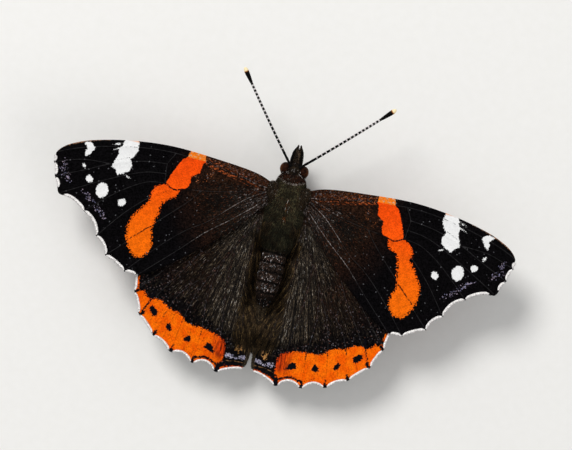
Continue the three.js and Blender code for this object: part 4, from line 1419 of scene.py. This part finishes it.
def add_feeler(side, name):
    """A long feeler with a slight bow."""
    root = on_side(FEELER_ROOT, side)
    tip = np.array(FEELER_TIPS[name])
    bow = np.array(FEELER_BOWS[name])
    line = [root]
    for share in np.linspace(0.1, 0.9, 9):
        line.append(root + (tip - root) * share + bow * math.sin(math.pi * share) ** 0.7)
    line.append(tip)
    feeler = tube(f"antenna_{name}_shaft", line, (0.175, FEELER_RADIUS), 0.06, 12, feeler_shape)
    settle(feeler, [LOOKS["feeler"]], "dark_cuticle", f"antenna_{name}")


def leg_shape(share):
    """Swollen at each joint."""
    return 1 + 0.18 * sum(bell(share - joint, 0.012) for joint in LEG_JOINTS)


def add_leg(kind, leg, side, name):
    """A leg that stays above the floor, with its bristles."""
    points = on_side(leg["line"], side)
    piece = tube(f"{kind}_{name}_limb", points, leg["radii"], 0.08, 12, leg_shape)
    for vertex in piece.data.vertices:
        vertex.co.z = max(vertex.co.z, 0)
    settle(piece, [LOOKS["leg"]], "leg_cuticle", f"{kind}_{name}")
    add_bristles(f"{kind}_{name}_bristles", smooth_line(points, 0.02), leg["radii"])


def add_bristles(name, line, radii):
    """Bristles all round a leg, short and tan on its outer half."""
    count = LEG_BRISTLES
    picks = rng.integers(int(len(line) * 0.05), len(line) - 2, count)
    share = picks / len(line)
    run = unit(line[picks + 1] - line[picks])
    out = unit(np.cross(run, rng.normal(size=(count, 3))))
    radius = np.interp(share, np.linspace(0, 1, len(radii)), radii)
    roots = line[picks] + out * radius[:, None] * 0.9
    roots[:, 2] = np.maximum(roots[:, 2], 0.06)
    low = roots[:, 2] < 0.5
    out[low, 2] = np.abs(out[low, 2])
    far = share > 0.45
    lengths = np.where(far, rng.uniform(0.12, 0.26, count), rng.uniform(0.25, 0.5, count))
    lifts = rng.uniform(0.25, 0.6, count)
    dyes = either(far, dyed({"7d6140": 1, "4a3826": 1}, count), dyed({"2e2419": 2, "57482f": 1}, count))
    widths = rng.uniform(0.03, 0.05, count)
    spots = vectors(share, rng.uniform(0.02, 0.98, count))
    blades = Blades(roots, out, run, lengths, widths, lifts, dyes)
    placed(name, blade_mesh(name, blades, spots), [LOOKS["hair"]], "leg_cuticle")


def add_claws(kind, leg, side, name):
    """Two curved claws at the foot."""
    foot, before = np.array(leg["line"][-1]), np.array(leg["line"][-2])
    run = unit(foot - before)
    across = np.cross(run, (0, 0, 1.0))
    for claw, spread in (("inner", -1), ("outer", 1)):
        start = foot - run * 0.02
        middle = start + run * 0.1 + across * spread * 0.07 + (0, 0, 0.02)
        tip = start + run * 0.16 + across * spread * 0.12 - (0, 0, 0.08)
        line = on_side([start, middle, tip], side)
        piece = tube(f"{kind}_{name}_{claw}_claw", line, (0.06, 0.045, 0.015), 0.02, 8)
        settle(piece, [LOOKS["feeler"]], "leg_cuticle")


def add_palp(side, name):
    """A palp with a black outer side and a brown inner one."""
    palp = tube(f"palp_{name}_core", on_side(PALP["line"], side), PALP["radii"], 0.08, 16)
    settle(palp, [LOOKS["hide"]], "body_coat", f"palp_{name}")
    points, normals = skin_samples(palp, PALP_HAIRS)
    count = len(points)
    lies = vectors(np.full(count, -0.2 * side), 1.0, 0.35)
    inner = -normals[:, 0] * side + 0.3 * normals[:, 2] + rng.normal(0, 0.22, count) > 0.42
    brown = dyed({"43362a": 2, "7d6853": 1.3, "17110e": 3}, count)
    dyes = either(inner, brown, dyed({"080707": 2, "120f0e": 1}, count))
    lengths = np.where(inner, rng.uniform(0.3, 0.55, count), rng.uniform(0.2, 0.36, count))
    lengths *= np.clip((PALP_TIP_Y - points[:, 1]) / 1.2, 0.35, 1)
    widths = rng.uniform(0.035, 0.06, count)
    lifts = rng.uniform(0.15, 0.4, count)
    blades = Blades(points, normals, lies, lengths, widths, lifts, dyes)
    mesh = blade_mesh(f"palp_{name}_coat", blades, body_spots(points))
    placed(mesh.name, mesh, [LOOKS["hair"]], "body_coat")


def add_shoulder(side, name):
    """The hairy lappet over the root of a forewing, narrower behind."""
    middle = on_side(SHOULDER["middle"], side)
    lappet, centre = add_ball(f"shoulder_{name}_lappet", middle, (math.pi / 2, 0, 0), 28, 18)
    for vertex in lappet.data.vertices:
        along = (vertex.co.y - centre.y) / MM
        vertex.co.x = centre.x + (vertex.co.x - centre.x) * (1 + 0.25 * along)
    turn = math.radians(SHOULDER["turn"]) * side
    open_mesh()
    bpy.ops.transform.resize(value=SHOULDER["half"], center_override=centre)
    bpy.ops.transform.rotate(value=turn, orient_axis="Z", center_override=centre)
    close_mesh()
    settle(lappet, [LOOKS["hide"]], "body_coat")
    add_body_coat(f"shoulder_{name}_coat", lappet, 5200, lambda x, y, rise: rise > -0.5, lie_shoulder,
                  steady(0.45), 0.18, shoulder_palette)


def add_tongue():
    """The coiled tongue under the head."""
    middle_y, middle_z = TONGUE["middle"]
    outer, inner = TONGUE["outer"], TONGUE["inner"]
    line = [(0, middle_y - 0.6, middle_z + outer + 0.9)]
    steps = round(TONGUE["turns"] * 10)
    for i in range(steps + 1):
        angle = math.pi * 0.62 - i / 10 * 2 * math.pi
        reach = outer + (inner - outer) * i / steps
        line.append((0, middle_y + reach * math.cos(angle), middle_z + reach * math.sin(angle)))
    tongue = tube("proboscis_coil", line, (TONGUE["radius"], TONGUE["radius"] * 0.6), 0.08, 12)
    settle(tongue, [LOOKS["tongue"]], "dark_cuticle", "proboscis")


# Lie of the coat

def lie_back(x, y):
    """Backward, and away from the middle line."""
    return vectors(0.22 * x, -1.0, -0.25 * np.abs(x) * 0.3)


def lie_shoulder(x, y):
    """Out over the forewing roots."""
    return vectors(0.6 * np.sign(x), -1.0, 0.0)


def lie_flank(x, y):
    """Out over the wing roots and back."""
    return vectors(0.55 * np.sign(x), -1.0, 0.05)


def lie_head(x, y):
    """Forward on the face, back on the crown, and out beside the eyes."""
    aside = 0.9 * np.sign(x) * smooth_step(np.abs(x), 0.35, 0.8) * (y > 4.9)
    return vectors(aside, np.where(y > 5.9, 0.7, -0.6), 0.4)


# Colours of the coat

def thorax_palette(points, normals):
    """Olive brown with a reddish crest whose white blades are painted glints, a painted sheen on either side
    of the middle, painted shade behind and beside, and grey below.
    """
    count = len(points)
    x, y = np.abs(points[:, 0]), points[:, 1]
    above = dyed({"393425": 4, "4b4732": 2.5, "221f16": 3, "6e6749": 1, "4c3420": 1.0}, count)
    # Painted shade: darker towards the sloping rear and towards the sides, and tinted bluish there.
    rear = smooth_step(-y, 1.0, 3.5) * 0.4 + smooth_step(x, 1.2, 2.4) * 0.25
    # Painted highlight: a sheen on either side of the middle line, lightest towards the front.
    sheen = bell(x - 1.25, 0.5) * smooth_step(y, -2.0, 1.0)
    above = above * ((0.8 + 0.42 * sheen) * (1.1 - 1.2 * rear))[:, None]
    above = above * (1 - 0.12 * rear[:, None] * np.array([2.0, 0.6, -0.6]))
    side = dyed({"3a3022": 3, "5d5040": 1, "231c14": 3}, count)
    below = dyed({"8a7f70": 3, "a0968a": 1, "5c5347": 2}, count)
    share = smooth_step(-normals[:, 2], 0.0, 0.7)[:, None]
    flank = smooth_step(-normals[:, 2], -0.5, 0.1)[:, None]
    # Painted glints: the crest's white blades stand in for highlights along the middle line; its orange-brown
    # and dark blades are the coat's own.
    crest = depth_in_spots(points[:, :2], THORAX_CREST) + rng.normal(0, 0.1, count) > 0.05
    above = either(crest, dyed({"a8642c": 1.4, "e6ded4": 1.2, "33291c": 2.5}, count), above)
    return (above * (1 - flank) + side * flank) * (1 - share) + below * share


def shoulder_palette(points, normals):
    return dyed({"2b241a": 4, "3e3324": 3, "15110d": 3, "4a3220": 1.5, "a8a098": 0.25}, len(points))


def flank_palette(points, normals):
    return dyed({"30261a": 3, "443624": 2, "17110c": 3.4, "6b5634": 0.8}, len(points))


def collar_line(x):
    """The rear edge of the collar."""
    return 3.6 + 0.18 * x**2


def collar_palette(points, normals):
    """Red-brown with a pale rear edge."""
    count = len(points)
    dark = dyed({"2e1a12": 3, "57301f": 2, "0b0807": 3}, count)
    pale = dyed({"9a8e84": 2, "c4b8ae": 1}, count)
    behind = points[:, 1] - collar_line(points[:, 0])
    flecks = rng.uniform(size=count) < np.where(np.abs(behind - 0.08) < 0.09, 0.6, 0.025)
    return either(flecks, pale, dark)


def head_palette(points, normals):
    """Nearly black with a few pale tufts."""
    count = len(points)
    dark = dyed({"0d0a09": 6, "2a1d17": 3, "4c3e36": 0.8}, count)
    pale = dyed({"8c8078": 1, "e4dcd8": 1.4}, count)
    tufts = depth_in_spots(points[:, :2], HEAD_TUFTS)
    shown = rng.uniform(size=count) < np.where(tufts > 0, 0.4, 0.03)
    return either(shown, pale, dark)


def abdomen_palette(points, normals):
    """Black-brown with patches of scales painted pale as glints on top, dark in the grooves, painted shade on
    the tail, and fawn below.
    """
    count = len(points)
    y = points[:, 1]
    dark = dyed({"1e1712": 3, "3a2c23": 2.5, "130e0b": 2, "54443a": 1}, count)
    # Painted highlight: pale glint colours for scales on the top.
    painted_glints = dyed({"7d675c": 3, "cfa294": 1.1, "959ca0": 1.8, "fff4f0": 1.3}, count)
    below = dyed({"6f6253": 2, "8d8070": 1, "4b4035": 2}, count)
    off = np.abs(y[:, None] - 0.13 - np.array(SEGMENT_GROOVES)).min(1)
    crown = smooth_step(normals[:, 2], 0.3, 0.85) * smooth_step(y, -12.7, -11.9)
    patches = rng.uniform((-1.3, -12.4), (1.4, -6.0), (GLINT_PATCHES, 2))
    near = np.linalg.norm(points[:, None, :2] - patches[None], axis=2).min(1)
    patchy = 1 - smooth_step(near, 0.03, 0.14)
    # Scales turned to painted glints: most on the top, in patches, clear of the grooves.
    shiny = rng.uniform(size=count) < 0.03 + 0.55 * crown * patchy * smooth_step(off, 0.14, 0.3)
    dark = dark * (0.08 + 0.92 * smooth_step(off, 0.08, 0.28))[:, None]
    # Painted shade: darker towards the tail, where hair closes over it.
    dark = dark * (1 - 0.65 * smooth_step(-y, 12.0, 12.8))[:, None]
    share = smooth_step(-normals[:, 2], 0.2, 0.7)[:, None]
    return either(shiny, painted_glints, dark) * (1 - share) + below * share


# Spread, lie and colours of the hair on the wings

def fan(root):
    """Out from a point on all sides."""
    return lambda x, y: unit(vectors(x - root[0], y - root[1]))


def on_membrane(x, y, wing):
    return within(vectors(x, y), membrane_outline(wing))


def lines_of(x, y, root):
    """Fine light and dark lines that run out from a wing's root, from 0 to 1."""
    turn = np.arctan2(y - root[1], x - root[0])
    waves = np.sin(turn * 73) + np.sin(turn * 167 + 1.3) + np.sin(turn * 283 + 0.4)
    waves = waves + 1.3 * np.sin(turn * 431 + 2.0) + 1.3 * np.sin(turn * 610 + 0.7)
    return smooth_step(waves, -2.9, 2.9)


def hindwing_share(x, y):
    """Thick near the body, thin farther out, and none on the band."""
    inner = 1 - smooth_step(x, 4.5, 9.5)
    before_band = smooth_step(-depth_in(vectors(x, y), [HIND_BAND]), 1.2, 2.8)
    rear = smooth_step(-y, 19.0, 20.6)
    return on_membrane(x, y, HINDWING) * (0.12 + 0.88 * inner) * before_band * (1 - rear)


def hindwing_hair_length(x, y):
    return 0.6 + 0.35 * (1 - smooth_step(x, 4.0, 8.0)) + 0.25 * (1 - smooth_step(x, 1.2, 3.0))


def hindwing_palette(x, y):
    """Streaks from black to pale grey, a tenth of the hairs painted pale as glints, a painted highlight along
    the crease at x 3.5, and the warm brown of the band of hair beside the body.
    """
    count = len(x)
    tone = 0.66 * lines_of(x, y, HINDWING_HAIR_ROOT) + 0.06 + rng.normal(0, 0.19, count)
    # Painted glints: a tenth of the hairs made much paler.
    tone = tone + 0.42 * (rng.uniform(size=count) < 0.1)
    shades = np.array([linear(code) for code in HINDWING_SHADES.values()])
    outer = vectors(*[np.interp(tone, list(HINDWING_SHADES), shades[:, k]) for k in range(3)])
    far = smooth_step(x, 4.5, 9.5)[:, None]
    outer = outer * (1.12 - 0.5 * far) * (1 - far * np.array([0.0, 0.1, 0.18]))
    share = (1 - smooth_step(x + rng.normal(0, 0.3, count), 2.4, 3.5))[:, None]
    # Painted highlight along the crease at x 3.5 beside the body.
    crease_highlight = bell(x - 3.5, 0.25) * smooth_step(-y, 5.5, 8.0) * (1 - smooth_step(-y, 13.5, 17.0))
    return (outer * (1 - share) + band_palette(x, y) * share) * (1 + 0.9 * crease_highlight[:, None])


def band_turn(y):
    """How steeply the hair beside the body closes in behind it."""
    return 0.1 + 0.45 * smooth_step(-y, 8.5, 13.0) * (1 - 0.6 * smooth_step(-y, 15.5, 18))


def band_flow(x, y):
    return unit(vectors(-band_turn(y), -1.0))


def band_share(x, y):
    return on_membrane(x, y, HINDWING) * (1 - smooth_step(x, 2.8, 3.7)) * (1 - smooth_step(-y, 17.5, 19.5))


def band_palette(x, y):
    """Long brown strands that follow the hair, with a painted shadow just behind the abdomen."""
    stations = np.linspace(-24, 0, 200)
    drift = np.cumsum(band_turn(stations)) * (stations[1] - stations[0])
    across = x - np.interp(y, stations, drift) + rng.normal(0, 0.02, len(x))
    waves = np.sin(across * 7) + np.sin(across * 17 + 1.0) + np.sin(across * 31 + 2.0)
    dyes = dyed({"33271a": 3, "4c3b24": 2.4, "17110c": 2, "8a7048": 0.5}, len(x))
    # Painted shadow: strands darken just behind the abdomen's tail.
    behind = bell(x, 1.1) * bell(y + 14.2, 1.7)
    return dyes * ((0.1 + 1.35 * smooth_step(waves, -1.5, 1.7)) * (1 - 0.75 * behind))[:, None]


def forewing_share(x, y):
    """Thick at the root, and none along the front edge."""
    reach = np.hypot(x - 3, y - 1.5)
    inside = on_membrane(x, y, FOREWING)
    return inside * (1 - smooth_step(reach, 3.0, 10.5)) * smooth_step(2.2 - y - 0.02 * x, 0.0, 2.0)


def forewing_palette(x, y):
    """Nearly black in fine lines, with frosted hairs at the root."""
    count = len(x)
    dyes = dyed({"0c0908": 8, "2a1f16": 2, "453d35": 0.8, "8f8983": 0.1, "6a3a22": 0.6}, count)
    frosted = rng.uniform(size=count) < 0.26 * (1 - smooth_step(np.hypot(x - 3, y - 1.0), 1.5, 5.0))
    dyes = either(frosted, dyed({"6a605a": 3, "aca09e": 1, "4c382e": 1.4}, count), dyes)
    return dyes * (0.3 + 0.9 * lines_of(x, y, FOREWING_HAIR_ROOT))[:, None]


# Everything in its place

def add_hindwing_hair(side, name):
    """Two coats of short hair, a band of longer hair beside the body, and the soft inner fringe."""
    for part, width in (("fine", 0.042), ("loose", 0.05)):
        add_wing_hair(
            f"hindwing_{name}_{part}_hair", "hindwing", side, count=15100, low=(0.2, -22.5), high=(13, -1.5),
            share=hindwing_share, flow=fan(HINDWING_HAIR_ROOT), length=hindwing_hair_length, width=width,
            palette=hindwing_palette,
        )
    add_wing_hair(
        f"hindwing_{name}_band_hair", "hindwing", side, count=6500, low=(0.4, -20), high=(3.8, -3.4),
        share=band_share, flow=band_flow, length=steady(1.7), width=HAIR_WIDTH, palette=band_palette,
    )
    add_inner_fringe(side, name)


def add_forewing_hair(side, name):
    """Short hair that fans out from the root."""
    add_wing_hair(
        f"forewing_{name}_hair", "forewing", side, count=9000, low=(1.8, -6.5), high=(13, 3.0),
        share=forewing_share, flow=fan(FOREWING_HAIR_ROOT), length=steady(0.32), width=0.05,
        palette=forewing_palette,
    )


def add_body():
    """One skin from head to tail, with a coat for each of its parts."""
    body = loft("body_skin", BODY_RINGS, 20)
    groove_segments(body)
    settle(body, [LOOKS["hide"]], "body_coat", "thorax", "prothorax", "head", "abdomen")
    add_body_coat(
        "thorax_coat", body, 31600, where=lambda x, y, rise: (y > -5.2) & (y < collar_line(x)),
        lie=lie_back, length=lambda x, y: 0.52 + 1.0 * smooth_step(-y, 1.8, 4.8), lift=0.32,
        palette=thorax_palette,
    )
    add_body_coat(
        "flank_coat", body, 40000,
        where=lambda x, y, rise: (y > -5.3) & (y < -1.8) & (np.abs(x) > 1.1) & (rise > -0.3),
        lie=lie_flank, length=steady(1.5), lift=0.16, palette=flank_palette,
    )
    add_body_coat(
        "collar_coat", body, 40000, where=lambda x, y, rise: (y > collar_line(x)) & (y < 5.0),
        lie=lie_back, length=steady(0.42), lift=0.36, palette=collar_palette,
    )
    add_body_coat(
        "head_coat", body, 26000, where=lambda x, y, rise: y > 4.8, lie=lie_head,
        length=lambda x, y: 0.32 + 0.42 * smooth_step(np.abs(x), 0.5, 0.9), lift=0.6, palette=head_palette,
    )
    add_body_coat(
        "abdomen_coat", body, 30000, where=lambda x, y, rise: y < -5.0, lie=lie_back, length=steady(0.27),
        lift=0.14, palette=abdomen_palette, width=SCALE_WIDTH, slot="abdomen_coat", look="scales",
    )


def add_floor():
    deselect()
    bpy.ops.mesh.primitive_plane_add(size=3.0, location=(0, 0, 0))
    floor = bpy.context.object
    floor.name = "floor"
    floor.data.materials.append(floor_look())


add_camera()
add_world()
add_light("key", place=(-0.32, 0.34, 0.62), size=0.3, power=3.9)
add_light("fill", place=(0.5, -0.25, 0.5), size=0.5, power=0.9)

WING_HEIGHTS = {"forewing": forewing_height, "hindwing": hindwing_height}
LOOKS = {
    "hair": coat_look("body_hair", glint_flecks=0.6, clumped=0.42),
    "wing_hair": coat_look("wing_hair", root=0.8, glint_flecks=0.85, clumped=0.25, grain=13.0),
    "fringe": coat_look("fringe_hair", roughness=0.7, specular=0.1, root=0.95),
    "scales": coat_look("abdomen_scales", specular=0.04, glint_flecks=0.4),
    "hide": skin_look(),
    "eye": eye_look(),
    "feeler": feeler_look(),
    "leg": leg_look(),
    "tongue": tongue_look(),
}

make_wings("forewing", FOREWING, forewing_marks, [forewing_top(), forewing_under()])
make_wings("hindwing", HINDWING, hindwing_marks, [hindwing_top(), hindwing_under()])

for side, name in SIDES:
    add_hindwing_hair(side, name)
    add_forewing_hair(side, name)

add_body()
add_tongue()
for side, name in SIDES:
    add_shoulder(side, name)
    add_eye(side, name)
    add_feeler(side, name)
    add_palp(side, name)
    add_leg("foreleg", FORE_LEG, side, name)
    add_leg("midleg", MID_LEG, side, name)
    add_leg("hindleg", HIND_LEG, side, name)
    add_claws("midleg", MID_LEG, side, name)
    add_claws("hindleg", HIND_LEG, side, name)

add_floor()
